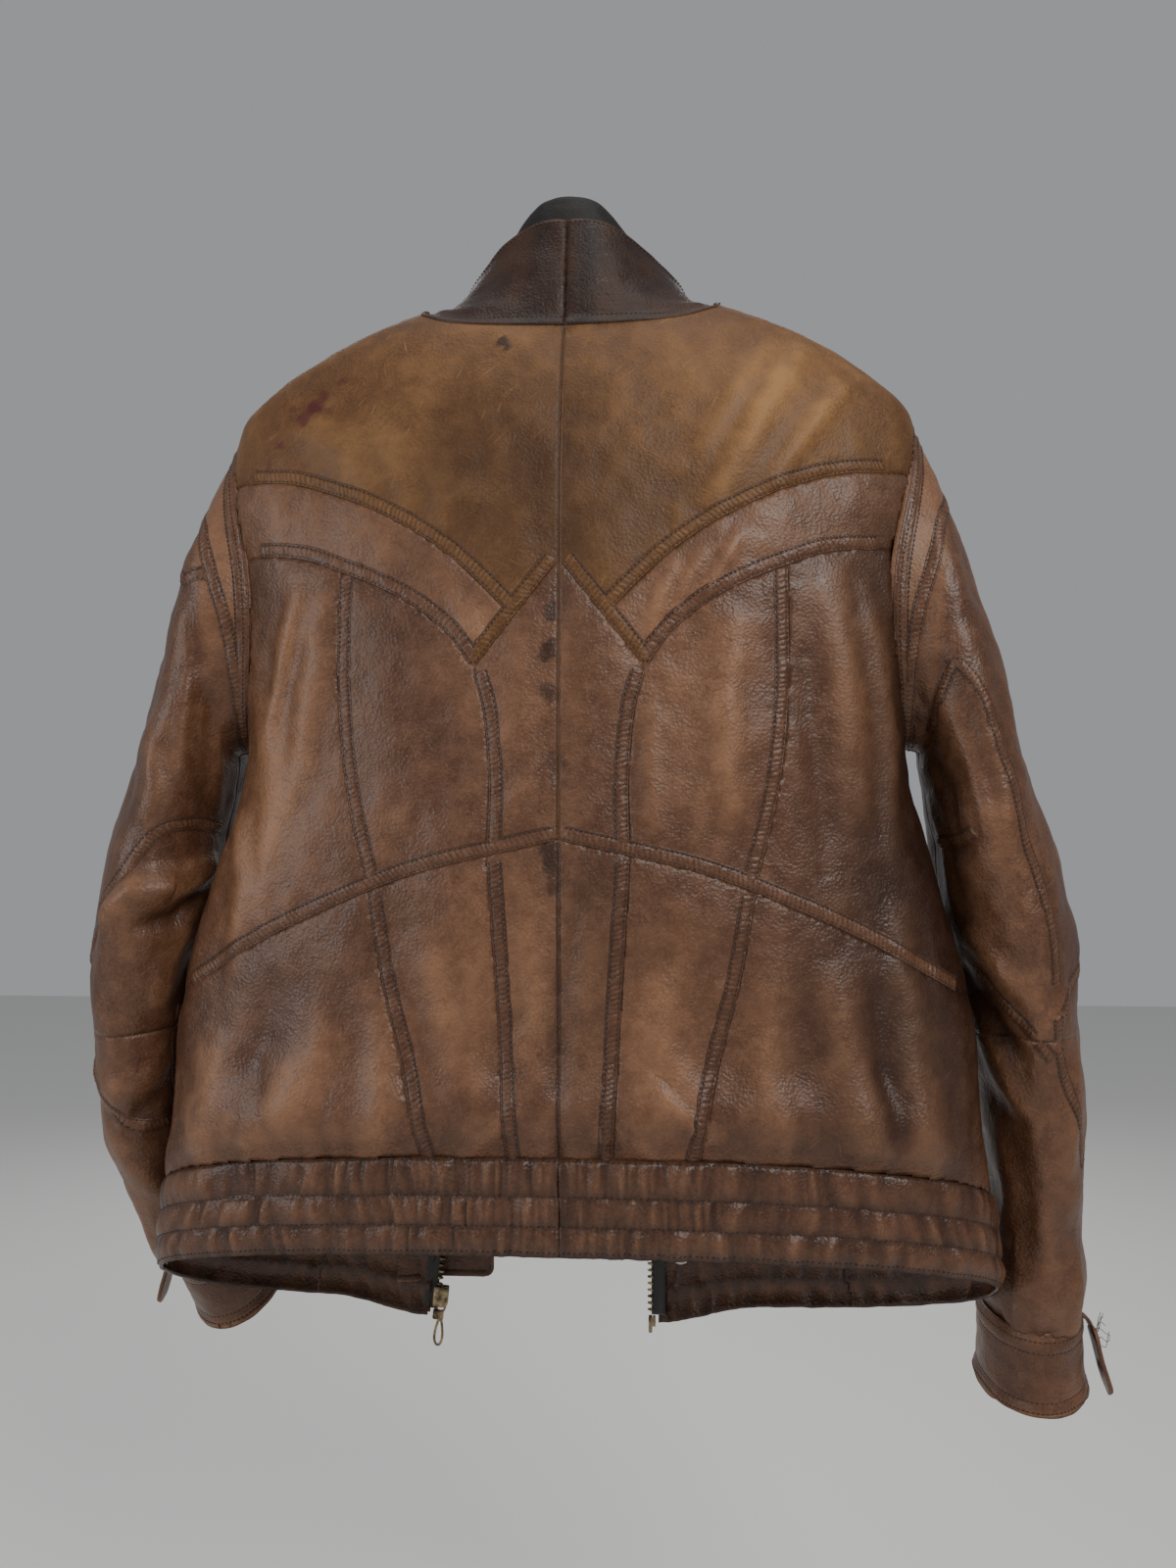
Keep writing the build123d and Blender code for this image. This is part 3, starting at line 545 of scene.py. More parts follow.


# paler and darker regions of the back: x, z, radius x, radius z, how pale, how dark. Most are uneven tone of the hide;
# the long dark strip down the right side at x -265, beside the sleeve, is painted shade
REGIONS = [(40, -255, 40, 70, 0.25, 0), (-85, -265, 45, 60, 0.55, 0), (-150, -50, 70, 60, 0.30, 0),
    (40, -430, 60, 70, 0.40, 0),
           (-60, -470, 50, 80, 0.35, 0), (170, -300, 50, 110, 0.30, 0), (-265, -300, 75, 220, 0, 1.1), (-190, -500,
               70, 80, 0, 0.28),
           (0, -120, 110, 70, 0, 0.42), (130, -110, 80, 60, 0, 0.14), (105, -250, 34, 60, 0, 0.12), (-20, -470, 22,
               120, 0, 0.28)]


def body_relief(side, sign, p):
    """How far each point of the body stands out from its smooth shape, and the tone that goes with it."""
    x, y, z = p[:, 0], p[:, 1], p[:, 2]
    q = p * [sign, 1, 1]
    soft = noise(q, (70, 60, 130), 3) * 3.2 + noise(q, (34, 34, 60), 5) * 1.5
    crumple = noise(q, (13, 13, 18), 7) * 0.65 + noise(q, (6.5, 6.5, 9), 9) * 0.22
    back = y > 0
    h = np.zeros(len(x))
    h[back] = folds(x[back], z[back], FOLDS[side]) * 1.3
    h[~back] = folds(x[~back], z[~back], FRONT_FOLDS[side])
    gap = np.full(len(x), 99.0)
    for line in ALL_SEAMS:
        gap[back] = np.minimum(gap[back], near_line(x[back], z[back], line[::6] if len(line) > 12 else line)[0])
    gap[~back] = np.minimum(near_line(x[~back], z[~back], FRONT_YOKE[::6])[0], gap[~back])
    pillow = 1.7 * (1 - np.exp(-gap / 13.0)) - 1.1
    pucker = 0.5 * noise(q, (5, 5, 5), 11) * np.exp(-gap / 16.0)
    # the body blouses over the waistband, whose seam draws it in with small upright creases
    over = z - band_height(y)
    round_it = x + 2.2 * noise(q, (26, 26, 30), 14)
    blouse = (6.5 * smooth(285, 190, x) + 0.5) * np.exp(-((over - 30) / 22.0) ** 2) * smooth(0, 16,
        over) - 2.0 * np.exp(-np.maximum(over, 0) / 6.0)
    creases = noise(np.stack([round_it * 1.0, y * 0.8, z * 0.12], 1), (9, 9, 9),
        15) * 2.4 * np.exp(-np.maximum(over, 0) / 30.0)
    calm = smooth(-30, -130, z) * 0.65 + 0.35
    relief = (soft * calm + crumple * (0.6 + 0.4 * calm) + h) * smooth(-6, 14,
        over) + pillow + pucker + blouse + creases * smooth(-3, 6, over)
    relief = relief * smooth(0, 9, neck_height(y) - z)
    relief += 5.5 * smooth(232, 285, x) * smooth(-225, -270, z) * smooth(-560, -470, z)
    high = crumple + 0.25 * h + 0.3 * creases
    wear = 0.14 + 0.12 * noise(q, (60, 60, 80), 21) + 0.30 * np.clip(h / 4.0, 0, 1) + 0.30 * np.clip(high, 0, 1.2)
    # painted shade: darker in the hollows of folds, crumples and creases and in the dip beside each seam, over uneven
    # real dirt
    dirt_and_shade = 0.08 + 0.09 * noise(q, (45, 45, 70), 22) + 0.18 * np.clip(-high, 0, 1) + 0.12 * np.exp(-gap / 5.0)
    behind = np.where(back, 1.0, 0.25)
    for cx, cz, rx, rz, pale, darkening in REGIONS:
        near = np.exp(-((q[:, 0] - cx) / rx) ** 2 - ((z - cz) / rz) ** 2) * behind
        wear += pale * near
        # darker regions: uneven tone of the hide, and painted shade in the strip beside the right sleeve
        dirt_and_shade += darkening * near
    return relief, np.stack([wear, dirt_and_shade, np.zeros(len(x))], 1)


def spots(q, table):
    """Sum of round soft spots, each (x, z, radius x, radius z, strength), ragged at the edge; x is signed."""
    out = np.zeros(len(q))
    ragged = 1 + 0.55 * noise(q, (5, 5, 5), 31) + 0.3 * noise(q, (2.5, 2.5, 2.5), 32)
    for x, z, rx, rz, strength in table:
        d = ((q[:, 0] - x) / rx) ** 2 + ((q[:, 2] - z) / rz) ** 2
        out = np.maximum(out, strength * smooth(1.25, 0.7, d * ragged))
    return out


# darkened marks beside the centre seam, a dark strip beside it lower down, and two old scrapes
DARK_MARKS = [(5, -207, 5, 7, 0.8), (6, -231, 6, 7, 0.85), (7, -258, 6, 6, 0.7), (2, -303, 7, 6, 0.55),
    (-2, -318, 6, 4, 0.4),
              (5, -366, 6, 12, 0.8), (3, -382, 5, 8, 0.6), (5, -480, 4, 12, 0.4), (3, -570, 8, 10, 0.75), (2, -590, 7,
                  8, 0.75),
              (-22, -410, 15, 60, 0.35), (-20, -500, 14, 60, 0.35), (-12, -440, 6, 50, 0.35), (41, -18, 5, 4,
                  1.0), (37, -22, 3, 3, 0.9),
              (-4, -96, 3, 12, 0.7), (-5, -60, 4, 20, 0.4)]
SCRAPE = [(172, -58, 6, 5, 1.0), (165, -50, 4, 4, 0.8), (178, -66, 5, 6, 0.8), (186, -58, 4, 3, 0.6),
    (160, -62, 4, 3, 0.5),
          (194, -84, 3, 3, 0.6), (202, -96, 3, 4, 0.5), (152, -38, 3, 3, 0.5), (198, -70, 2, 3, 0.5)]

BODY_SKIN = {}
ALL_V, ALL_F, ALL_N = [], [], []
_count = 0
for side, sign in SIDES:
    g = body_grid(ROW_Z, COLUMNS)
    rows = len(g)
    flat = g.reshape(-1, 3)
    faces = grid_faces(rows, COLUMNS)
    # points close to a seam or to an edge move onto it, so that panels end on clean lines
    x, y, z = flat.T
    for line in (YOKE_SEAM, LOWER_SEAM, WAIST_SEAM):
        zi = np.interp(x, line[:, 0], line[:, 1])
        hit = (y > 0) & (np.abs(z - zi) < 0.5 * ROW_STEP) & (x > line[0, 0]) & (x < 235)
        z[hit] = zi[hit]
    for line in (INNER_SEAM, OUTER_SEAM):
        xi = np.interp(z, line[::-1, 1], line[::-1, 0])
        hit = (y > 0) & (np.abs(x - xi) < 0.5 * COLUMN_STEP) & (z < line[0, 1])
        x[hit] = xi[hit]
    hit = (y < 0) & (np.abs(x - fold_x(z)) < 0.55 * COLUMN_STEP)
    x[hit] = fold_x(z)[hit]
    edge = zip_x(side, z) + 7.0
    hit = (y < 0) & (np.abs(x - edge) < 0.55 * COLUMN_STEP)
    x[hit] = edge[hit]
    angle = np.arctan2((z + 173) / 115, (y + 3) / 52)
    r = np.hypot((y + 3) / 52, (z + 173) / 115)
    hit = (x > 150) & (np.abs(r - 1) < 0.022)
    y[hit], z[hit] = (-3 + 52 * np.cos(angle))[hit], (-173 + 115 * np.sin(angle))[hit]
    flat = np.stack([x, y, z], 1)
    n = normals(flat, faces)
    n[(flat[:, 0] < 0.01), 0] = 0
    relief, tone = body_relief(side, sign, flat)
    q = flat * [sign, 1, 1]
    back = flat[:, 1] > 0
    tone[:, 1] = np.where(back, np.maximum(tone[:, 1], spots(q, DARK_MARKS)), tone[:, 1])
    tone[:, 2] = np.where(back, spots(q, SCRAPE), 0)
    v = flat + n * relief[:, None]
    v[flat[:, 0] < 0.01, 0] = 0
    v, flat = v * [sign, 1, 1], q
    if sign < 0:
        faces = faces[:, ::-1]
    n = -normals(v, faces) if np.mean(np.einsum("ij,ij->i", normals(v, faces), flat * [1, 1, 0])) < 0 else normals(v,
        faces)
    if np.einsum("ij,ij->i", normals(v, faces), n).mean() < 0:
        faces = faces[:, ::-1]
    seam = np.abs(flat[:, 0]) < 0.01
    n[seam, 0] = 0
    n /= np.linalg.norm(n, axis=1)[:, None]
    BODY_SKIN[side] = (v, faces, n, tone, flat)
    ALL_V.append(v)
    ALL_F.append(faces + _count)
    ALL_N.append(n)
    _count += len(v)
BODY_TREE = tree_of(np.vstack(ALL_V), np.vstack(ALL_F))

FRONT_AXIS = {"left": ((135.8, -91.2, -400.0), (-0.9739, 0.0, -0.2269)),
    "right": ((-135.8, -91.2, -400.0), (0.9739, 0.0, -0.2269))}


def front_blend(side):
    """The undone front's fold line: the torso, the front's name and two points 16 mm either side of its axis, in
    metres.
    """
    at, inboard = FRONT_AXIS[side]
    a = [(at[k] - 16 * inboard[k]) * MM for k in range(3)]
    b = [(at[k] + 16 * inboard[k]) * MM for k in range(3)]
    return ("torso", side + "_front", a, b)


FRONT_TREE = {}
for side, sign in SIDES:
    v, faces, n, tone, flat = BODY_SKIN[side]
    centre = flat[faces].mean(1) * [sign, 1, 1]
    panel = panel_of(side, *centre.T)
    panel[centre[:, 2] < band_height(centre[:, 1])] = -1
    panel[(centre[:, 1] < 0) & (panel == 10) & (centre[:, 2] > -84)] = -1
    for index, name in enumerate(PANELS):
        chosen = panel == index
        if not chosen.any():
            continue
        pv, pf, source = shell(v, n, faces, 1.6, chosen)
        if name == "front_panel":
            FRONT_TREE[side] = tree_of(v, faces[chosen])
        full = f"{name}_{side}"
        material = YOKE if name in ("back_yoke", "front_yoke") else BODY
        where = dict(blend=front_blend(side)) if index in (8, 9, 10) else dict(body="torso")
        shade = tone[source].copy()
        if name == "yoke_band":
            shade[:, 0] += 0.32
        make(full, pv, pf, material, shade, flat[source], stands_for=[full],
            slot="yoke_leather" if material is YOKE else "body_leather", **where)


# ---- seams and stitches --------------------------------------------------------------
# height of a lapped seam's band across its width: a folded edge at 0, a stitch row beside it, and a second row 8 mm in
LAP = [(-1.8, -0.9), (-0.9, -0.45), (-0.2, -0.35), (0.1, 0.45), (0.6, 0.70), (1.3, 0.25), (2.0, 0.60), (3.2, 0.75),
    (4.6, 0.80),
       (6.0, 0.70), (7.2, 0.55), (7.9, 0.20), (8.5, -0.10), (9.2, 0.20), (10.0, 0.05), (11.0, -0.9)]
LAP_ROWS = (1.3, 8.4)
PLAIN = [(-2.4, -0.8), (-1.2, 0.15), (-0.5, 0.25), (0.0, -0.55), (0.5, 0.35), (1.3, 0.35), (2.6, -0.8)]


def on_back(line, sign, reach=300.0):
    """Points of the body's skin behind (x, z) points."""
    out = []
    for x, z in line:
        hit = BODY_TREE.ray_cast(Vector((sign * x, math.copysign(300, reach), z)),
            Vector((0, -math.copysign(1, reach), 0)))
        if hit[0] is not None and hit[0].y * reach > -20 * abs(reach):
            out.append(tuple(hit[0]))
    return np.array(out)


def smoothed(a, times=2):
    for _ in range(times):
        b = a.copy()
        b[1:-1] = (a[:-2] + 2 * a[1:-1] + a[2:]) / 4
        a = b
    return a


def follow(points, tree, step=1.0):
    """A line laid on a skin: evenly spaced places, their normals, directions and sideways directions."""
    p = curve(smoothed(np.asarray(points, float)), step)
    at, up = [], []
    for q in p:
        hit = tree.find_nearest(Vector(q))
        at.append(tuple(hit[0]))
        up.append(tuple(hit[1]))
    at, up = smoothed(np.array(at), 1), smoothed(np.array(up), 6)
    up /= np.linalg.norm(up, axis=1)[:, None]
    run = np.gradient(at, axis=0)
    run /= np.linalg.norm(run, axis=1)[:, None]
    across = np.cross(up, run)
    across /= np.linalg.norm(across, axis=1)[:, None]
    return at, up, run, across


def band(line, tree, lean, profile=LAP, seed=1, ladder=0.5, ends=3.0):
    """A seam's raised band on a skin; lean +1 or -1 says on which side of the line it lies. Returns points, faces, tone."""
    at, up, run, across = line
    w = np.array([k[0] for k in profile]) * lean
    h = np.array([k[1] for k in profile])
    s = np.concatenate([[0], np.cumsum(np.linalg.norm(np.diff(at, axis=0), axis=1))])
    fade = smooth(0, ends, np.minimum(s, s[-1] - s))
    middle = np.clip(1 - np.abs((np.abs(w) - 5.0) / 4.5), 0, 1) if profile is LAP else np.zeros(len(w))
    v, tone = [], []
    ripple = noise(np.stack([s, s * 0, s * 0], 1), (2.3, 9, 9),
        seed) + 0.6 * noise(np.stack([s, s * 0 + 40, s * 0], 1), (5, 9, 9), seed + 1)
    for j in range(len(w)):
        slant = s + w[j] * 0.30
        rung = np.sin(slant * 2 * np.pi / 3.4 + 2.2 * noise(np.stack([s, s * 0, s * 0], 1), (9, 9, 9),
            seed)) * (0.65 + 0.5 * ripple)
        skew = rung if middle[j] > 0 else ripple
        lift = h[j] * fade + ladder * middle[j] * rung * 0.85 - 0.35 * (1 - fade)
        for i in range(len(at)):
            hit = tree.find_nearest(Vector(at[i] + across[i] * w[j]))
            v.append(np.array(hit[0]) + up[i] * lift[i])
        wear = 0.05 + 0.28 * middle[j] * np.clip(skew, 0, 1) + (0.10 if h[j] > 0.65 else 0) * (0.6 + 0.4 * ripple)
        # painted shade: darker where the band's profile lies low, at its sunk edges and stitch grooves, and in the dips
        # between the ladder rungs
        dirt_and_shade = 1.0 * np.clip((0.30 - h[j]) / 0.4, 0, 1) + 0.60 * middle[j] * np.clip(-skew, 0, 1) + 0.12
        tone.append(np.stack([np.full(len(at), 1.0) * wear, np.full(len(at), 1.0) * dirt_and_shade, np.zeros(len(at))], 1))
    v = np.array(v)
    f = grid_faces(len(w), len(at))
    if lean > 0:
        f = f[:, ::-1]
    return v, f, np.concatenate(tone)


def stitches(line, tree, offset, lift, pitch=3.3, length=2.5, radius=0.36):
    """A row of sewn stitches beside a line on a skin. Returns points and faces."""
    at, up, run, across = line
    s = np.concatenate([[0], np.cumsum(np.linalg.norm(np.diff(at, axis=0), axis=1))])
    count = int((s[-1] - 2) / pitch)
    v, f = [], []
    for k in range(count):
        m = 1 + (k + 0.5) * pitch
        c, u, r, a = (np.array([np.interp(m, s, q[:, j]) for j in range(3)]) for q in (at, up, run, across))
        hit = tree.find_nearest(Vector(c + a * offset))
        c = np.array(hit[0]) + u * lift
        base = len(v)
        for t, size, drop in ((-0.5, 0.35, -0.35), (-0.28, 0.95, 0.0), (0.0, 1.05, 0.10), (0.28, 0.95, 0.0),
            (0.5, 0.35, -0.35)):
            for q in range(5):
                g = 2 * math.pi * q / 5
                v.append(c + r * t * length + a * (math.cos(g) * radius * size + 0.10 * (1 if k % 2 else -1) * t) + u * (math.sin(g) * radius * size + drop))
        for i in range(4):
            for q in range(5):
                n = (q + 1) % 5
                f.append((base + i * 5 + q, base + i * 5 + n, base + i * 5 + 5 + n, base + i * 5 + 5 + q))
        f.append(tuple(base + q for q in (4, 3, 2, 1)))
        f.append((base + 4, base + 1, base + 0, -1))
        f.append(tuple(base + 20 + q for q in (0, 1, 2, 3)))
        f.append((base + 20, base + 23, base + 24, -1))
    return np.array(v), f


def sew(name, points, tree, lean, where, material, profile=LAP, rows=LAP_ROWS, seed=1, extra_wear=0.0, ladder=0.5,
    stitch_lift=0.85):
    """A lapped seam: its band, and its two rows of stitches."""
    line = follow(points, tree)
    v, f, tone = band(line, tree, lean, profile, seed, ladder)
    tone[:, 0] += extra_wear
    make("seam_" + name, v, f, material, tone, slot="body_leather", **where)
    sv, sf, count = [], [], 0
    for row in rows:
        height = np.interp(row, [k[0] for k in profile], [k[1] for k in profile])
        a, b = stitches(line, tree, row * lean, height + 0.12)
        sv.append(a)
        sf += [tuple(i + count if i >= 0 else -1 for i in q) for q in b]
        count += len(a)
    make("stitches_" + name, np.vstack(sv), sf, THREAD, slot="body_leather", **where)


TORSO = dict(body="torso")
for side, sign in SIDES:
    lean = sign
    ends = {"yoke": curve([(31, -208), (48, -190), (70, -169), (95, -151), (120, -137), (149, -124), (181, -113),
        (217, -108)]),
            "lower": curve([(57, -241), (73, -219), (98, -199), (124, -185), (148, -175), (175, -165), (211, -160)])}
    sew(f"yoke_{side}", on_back(ends["yoke"], sign), BODY_TREE, -lean, TORSO, YOKE, seed=31, extra_wear=0.05)
    sew(f"band_{side}", on_back(ends["lower"], sign), BODY_TREE, -lean, TORSO, BODY, seed=37, extra_wear=0.15)
    sew(f"v_{side}", on_back(curve([(1, -172), (28, -207), (55, -241)]), sign), BODY_TREE, -lean, TORSO, YOKE,
        seed=41)
    sew(f"inner_{side}", on_back(curve([(56, -244), (49, -270), (45, -317), (46, -361)]), sign), BODY_TREE, lean,
        TORSO, BODY, seed=43, extra_wear=0.1)
    sew(f"inner_low_{side}", on_back(curve([(46, -366), (41, -444), (33, -580), (31, -596)]), sign), BODY_TREE, lean,
        TORSO, BODY, seed=47)
    sew(f"outer_{side}", on_back(curve([(148, -177), (148, -254), (142, -317), (126, -385)]), sign), BODY_TREE, lean,
        TORSO, BODY, seed=53, extra_wear=0.1, ladder=0.8)
    sew(f"outer_low_{side}", on_back(curve([(126, -389), (116, -444), (100, -507), (86, -580), (83, -594)]), sign),
        BODY_TREE, lean, TORSO, BODY, seed=59)
    sew(f"waist_{side}", on_back(curve([(1, -353.5), (46, -363.5), (86, -373), (126, -387), (196, -418),
        (262, -455)]), sign), BODY_TREE, -lean, TORSO, BODY, seed=61, extra_wear=0.15)
    sew(f"front_yoke_{side}", on_back(curve([(78, -159), (150, -168), (208, -158)]), sign, -300.0), BODY_TREE, lean,
        dict(blend=front_blend(side)), YOKE, seed=67)

# the plain centre seam of the back
line = on_back(curve([(0.0, -1.0), (0.0, -352.0)]), 1.0)
line[:, 0] = 0
v, f, tone = band(follow(line, BODY_TREE), BODY_TREE, 1, PLAIN, 71, 0.0)
make("seam_centre_upper", v, f, YOKE, tone + [0, 0.25, 0], slot="yoke_leather", body="torso")
line = on_back(curve([(0.0, -352.0), (0.0, -598.0)]), 1.0)
line[:, 0] = 0
v, f, tone = band(follow(line, BODY_TREE), BODY_TREE, 1, PLAIN, 73, 0.0)
make("seam_centre_lower", v, f, BODY, tone + [0, 0.35, 0], slot="body_leather", body="torso")


# ---- waistband ---------------------------------------------------------------------------
BAND_ROWS = np.concatenate([[-8.0, -4.0, -1.6], np.linspace(-0.6, 62.5, 38)])
STITCH_ROWS = (23.5, 42.5)


def waist_relief(side, sign, p, drop, out):
    """Gathers of the waistband between its rows of stitches. drop is how far below its top, out is 1 where it is elastic."""
    q = p * [sign, 1, 1]
    edges = (0.0,) + STITCH_ROWS + (61.0,)
    puff = np.zeros(len(p))
    for a, b in zip(edges[:-1], edges[1:]):
        k = np.clip((drop - a) / (b - a), 0, 1)
        puff = np.where((drop >= a) & (drop <= b), np.sin(np.pi * k) ** 0.6, puff)
    turn = np.arctan2(p[:, 1], p[:, 0]) * 300
    lane = np.digitize(drop, edges[1:3]) * 37.0
    s = np.stack([turn + 1.8 * np.sin(drop / 9.0 + turn / 30.0), drop * 0.22 + lane, q[:, 0] * 0 + sign * 50], 1)
    creases = noise(s, (6.0, 9, 9), 81) + 0.6 * noise(s, (3.2, 6, 9), 83)
    wide = noise(s, (22, 30, 9), 85)
    h = puff * (2.0 + 0.9 * wide) + (0.35 + 0.65 * puff) * creases * (0.5 + 1.6 * out) + 0.5 * noise(q, (9, 9, 9), 87)
    h += 1.2 * wide * out
    wear = 0.12 + 0.50 * np.clip(creases, 0, 1) * puff + 0.1 * wide
    # painted shade: darker in the troughs of the creases and in the stitched grooves between the puffs
    dirt_and_shade = 0.15 + 0.55 * np.clip(-creases, 0, 1) + 0.45 * (1 - puff)
    return h, np.stack([wear, dirt_and_shade, np.zeros(len(p))], 1)


def oriented(v, faces, toward):
    """Faces turned so that their normals agree with `toward`, with those normals."""
    n = normals(v, faces)
    if np.einsum("ij,ij->i", n, toward).mean() < 0:
        faces, n = faces[:, ::-1], -n
    return faces, n


def joined(parts):
    """Several (points, faces) as one."""
    v, f, count = [], [], 0
    for a, b in parts:
        v.append(np.asarray(a, float))
        f += [tuple(int(i) + count if i >= 0 else -1 for i in q) for q in b]
        count += len(a)
    return np.vstack(v), f


WAIST_TREE = {}
for side, sign in SIDES:
    columns = 330
    turns = np.linspace(0, 1, columns)
    fine = np.linspace(0, np.pi, 1500)
    ring = body_point(fine, np.full(1500, -640.0))
    k = np.concatenate([[0], np.cumsum(np.linalg.norm(np.diff(ring, axis=0), axis=1))])
    turn = np.interp(turns * k[-1], k, fine)
    g = []
    for drop in BAND_ROWS:
        z = np.full(columns, -640.0)
        for _ in range(3):
            p = body_point(turn, z)
            droop = np.where(p[:, 1] < 0, 0.20 * smooth(85, 5, p[:, 0] - zip_x(side, p[:, 2])), 0)
            z = band_height(p[:, 1]) - drop * (1 + droop)
        g.append(body_point(turn, z))
    g = np.array(g)
    flat = g.reshape(-1, 3)
    drop = np.repeat(BAND_ROWS, columns)
    faces = grid_faces(len(g), columns)
    n = normals(flat, faces)
    if np.einsum("ij,ij->i", n, flat * [1, 1, 0]).mean() < 0:
        n = -n
    n[flat[:, 0] < 0.01, 0] = 0
    out = smooth(8, 40, flat[:, 0]) * smooth(292, 262,
        flat[:, 0] + np.where(flat[:, 1] < 0, 60, 0)) * np.where(flat[:, 1] < 0, 0.6, 1) + 0.25
    h, tone = waist_relief(side, sign, flat, drop, out)
    h = np.where(drop < -1, -6.0, h * smooth(-1, 1.5, drop) - 2.5 * smooth(1.5, -1, drop)) - 2.2 * smooth(50, 62,
        drop)
    tone[:, 1] = np.maximum(tone[:, 1], np.where(flat[:, 1] > 0, 0.75 * np.exp(-((flat[:, 0] * sign + 3) / 7.0) ** 2),
        0))
    v = (flat + n * h[:, None])
    v[flat[:, 0] < 0.01, 0] = 0
    v, q = v * [sign, 1, 1], flat * [sign, 1, 1]
    n = n * [sign, 1, 1]
    nn = normals(v, faces)
    if np.einsum("ij,ij->i", nn, n).mean() < 0:
        faces = faces[:, ::-1]
        nn = -nn
    nn[flat[:, 0] < 0.01, 0] = 0
    nn /= np.linalg.norm(nn, axis=1)[:, None]
    tree = tree_of(v, faces)
    WAIST_TREE[side] = tree
    c = flat[faces].mean(1)
    front = (c[:, 1] < 0) & (c[:, 0] < fold_x(c[:, 2]))
    gone = (c[:, 1] < 0) & (c[:, 0] < zip_x(side, c[:, 2]) + 7)
    bends = dict(blend=front_blend(side))
    for name, chosen, where in (("waistband", c[:, 1] >= 0, dict(body="torso")),
        ("waistband_side", (c[:, 1] < 0) & ~front, bends),
                                ("waistband_front", front & ~gone, bends)):
        pv, pf, source = shell(v, nn, faces, 2.6, chosen)
        stands = [] if name == "waistband_side" else [f"{name}_{side}"]
        make(f"{name}_{side}", pv, pf, BODY, tone[source], q[source], stands_for=stands, slot="body_leather", **where)
    rows = {"back": [], "front": []}
    if side == "left":
        # the snap tab, which passes over the zip
        edge = zip_x(side, -676.0)
        path = curve([(edge + 36, -91.8, 0), (edge + 24, -93.6, 0), (edge + 16, -99.5, 0), (edge + 9, -106.0, 0),
            (edge - 2, -107.4, 0), (edge - 38, -107.6, 0)], 0.8)
        rows_z = np.linspace(-700.0, -652.0, 60)
        along = np.concatenate([[0], np.cumsum(np.linalg.norm(np.diff(path, axis=0), axis=1))])
        tab = np.array([np.stack([path[:, 0], path[:, 1], np.full(len(path), z)], 1) for z in rows_z])
        left = along[-1] - along
        for i, z in enumerate(rows_z):
            rim = min(z + 700.0, -652.0 - z)
            tuck = 7.0 - math.sqrt(max(49.0 - max(7.0 - rim, 0) ** 2, 0))
            tab[i, :, 0] += tuck * smooth(20, 0, left)
        tab = tab.reshape(-1, 3)
        rim = np.minimum(np.minimum(tab[:, 2] + 700, -652 - tab[:, 2]), np.tile(left, len(rows_z)))
        bulge = 0.9 * smooth(0, 5, rim) - 0.5 * np.exp(-((rim - 3.2) / 0.9) ** 2) + noise(tab, (14, 14, 14),
            191) * 0.5 + noise(tab, (5, 5, 5), 192) * 0.2
        tab[:, 1] -= bulge
        tf, tn = oriented(tab, grid_faces(len(rows_z), len(path)), np.tile([0, -1.0, 0], (len(tab), 1)))
        # painted shade: darker in the groove pressed in 3.2 mm from the edge; the paler edge is wear
        shade = np.stack([0.12 + 0.5 * smooth(2.0, 0, rim), 0.15 + 0.5 * np.exp(-((rim - 3.2) / 0.9) ** 2), rim * 0],
            1)
        pv, pf, source = shell(tab, tn, tf, 2.4)
        make("waistband_tab_left", pv, pf, BODY, shade[source], tab[source], slot="body_leather", **bends)
        tab_tree = tree_of(tab, tf)
        rim_line = [tab.reshape(len(rows_z), len(path), 3)[4, 22:-4],
            tab.reshape(len(rows_z), len(path), 3)[4:-4, -5],
            tab.reshape(len(rows_z), len(path), 3)[-5, 22:-4][::-1]]
        a, b = stitches(follow(np.vstack(rim_line), tab_tree, 2.4), tab_tree, 0.0, 0.15, pitch=3.4, length=2.4)
        make("stitches_tab_left", a, b, THREAD, slot="body_leather", **bends)
    for row in (1.2,) + STITCH_ROWS + (59.0,):
        i = int(np.argmin(np.abs(BAND_ROWS - row)))
        line = v.reshape(len(g), columns, 3)[i]
        behind = flat.reshape(len(g), columns, 3)[i][:, 1] > 0
        for part, keep in (("back", behind), ("front", ~behind & (np.abs(line[:, 0]) > zip_x(side, line[:, 2]) + 9))):
            rows[part].append(stitches(follow(line[keep], tree, 2.4), tree, 0.0, 0.15, pitch=3.6, length=2.5))
    for part, where in (("back", dict(body="torso")), ("front", bends)):
        a, b = joined(rows[part])
        make(f"stitches_waistband_{part}_{side}", a, b, THREAD, slot="body_leather", **where)


def wire(points, radius, closed=False, sides=10, flat=1.0, step=0.6):
    """A round or flattened bar bent along a line."""
    p = curve(points, step, closed)
    if closed:
        p = p[:-1]
    run = np.roll(p, -1, 0) - np.roll(p, 1, 0) if closed else np.gradient(p, axis=0)
    run /= np.linalg.norm(run, axis=1)[:, None]
    a = np.cross(run, [0, 1.0, 0])
    a /= np.maximum(np.linalg.norm(a, axis=1), 1e-6)[:, None]
    b = np.cross(run, a)
    g = np.linspace(0, 2 * np.pi, sides, endpoint=False)
    rings = p[:, None] + radius * (np.cos(g)[None, :, None] * a[:, None] + flat * np.sin(g)[None, :, None] * b[:,
        None])
    v = rings.reshape(-1, 3)
    f = list(map(tuple, grid_faces(len(p), sides, wrap=True)))
    if closed:
        last = (len(p) - 1) * sides
        f += [(last + k, last + (k + 1) % sides, (k + 1) % sides, k) for k in range(sides)]
    else:
        v = np.vstack([v, p[0], p[-1]])
        last = (len(p) - 1) * sides
        f += [((k + 1) % sides, k, len(v) - 2, -1) for k in range(sides)]
        f += [(last + k, last + (k + 1) % sides, len(v) - 1, -1) for k in range(sides)]
    return v, f


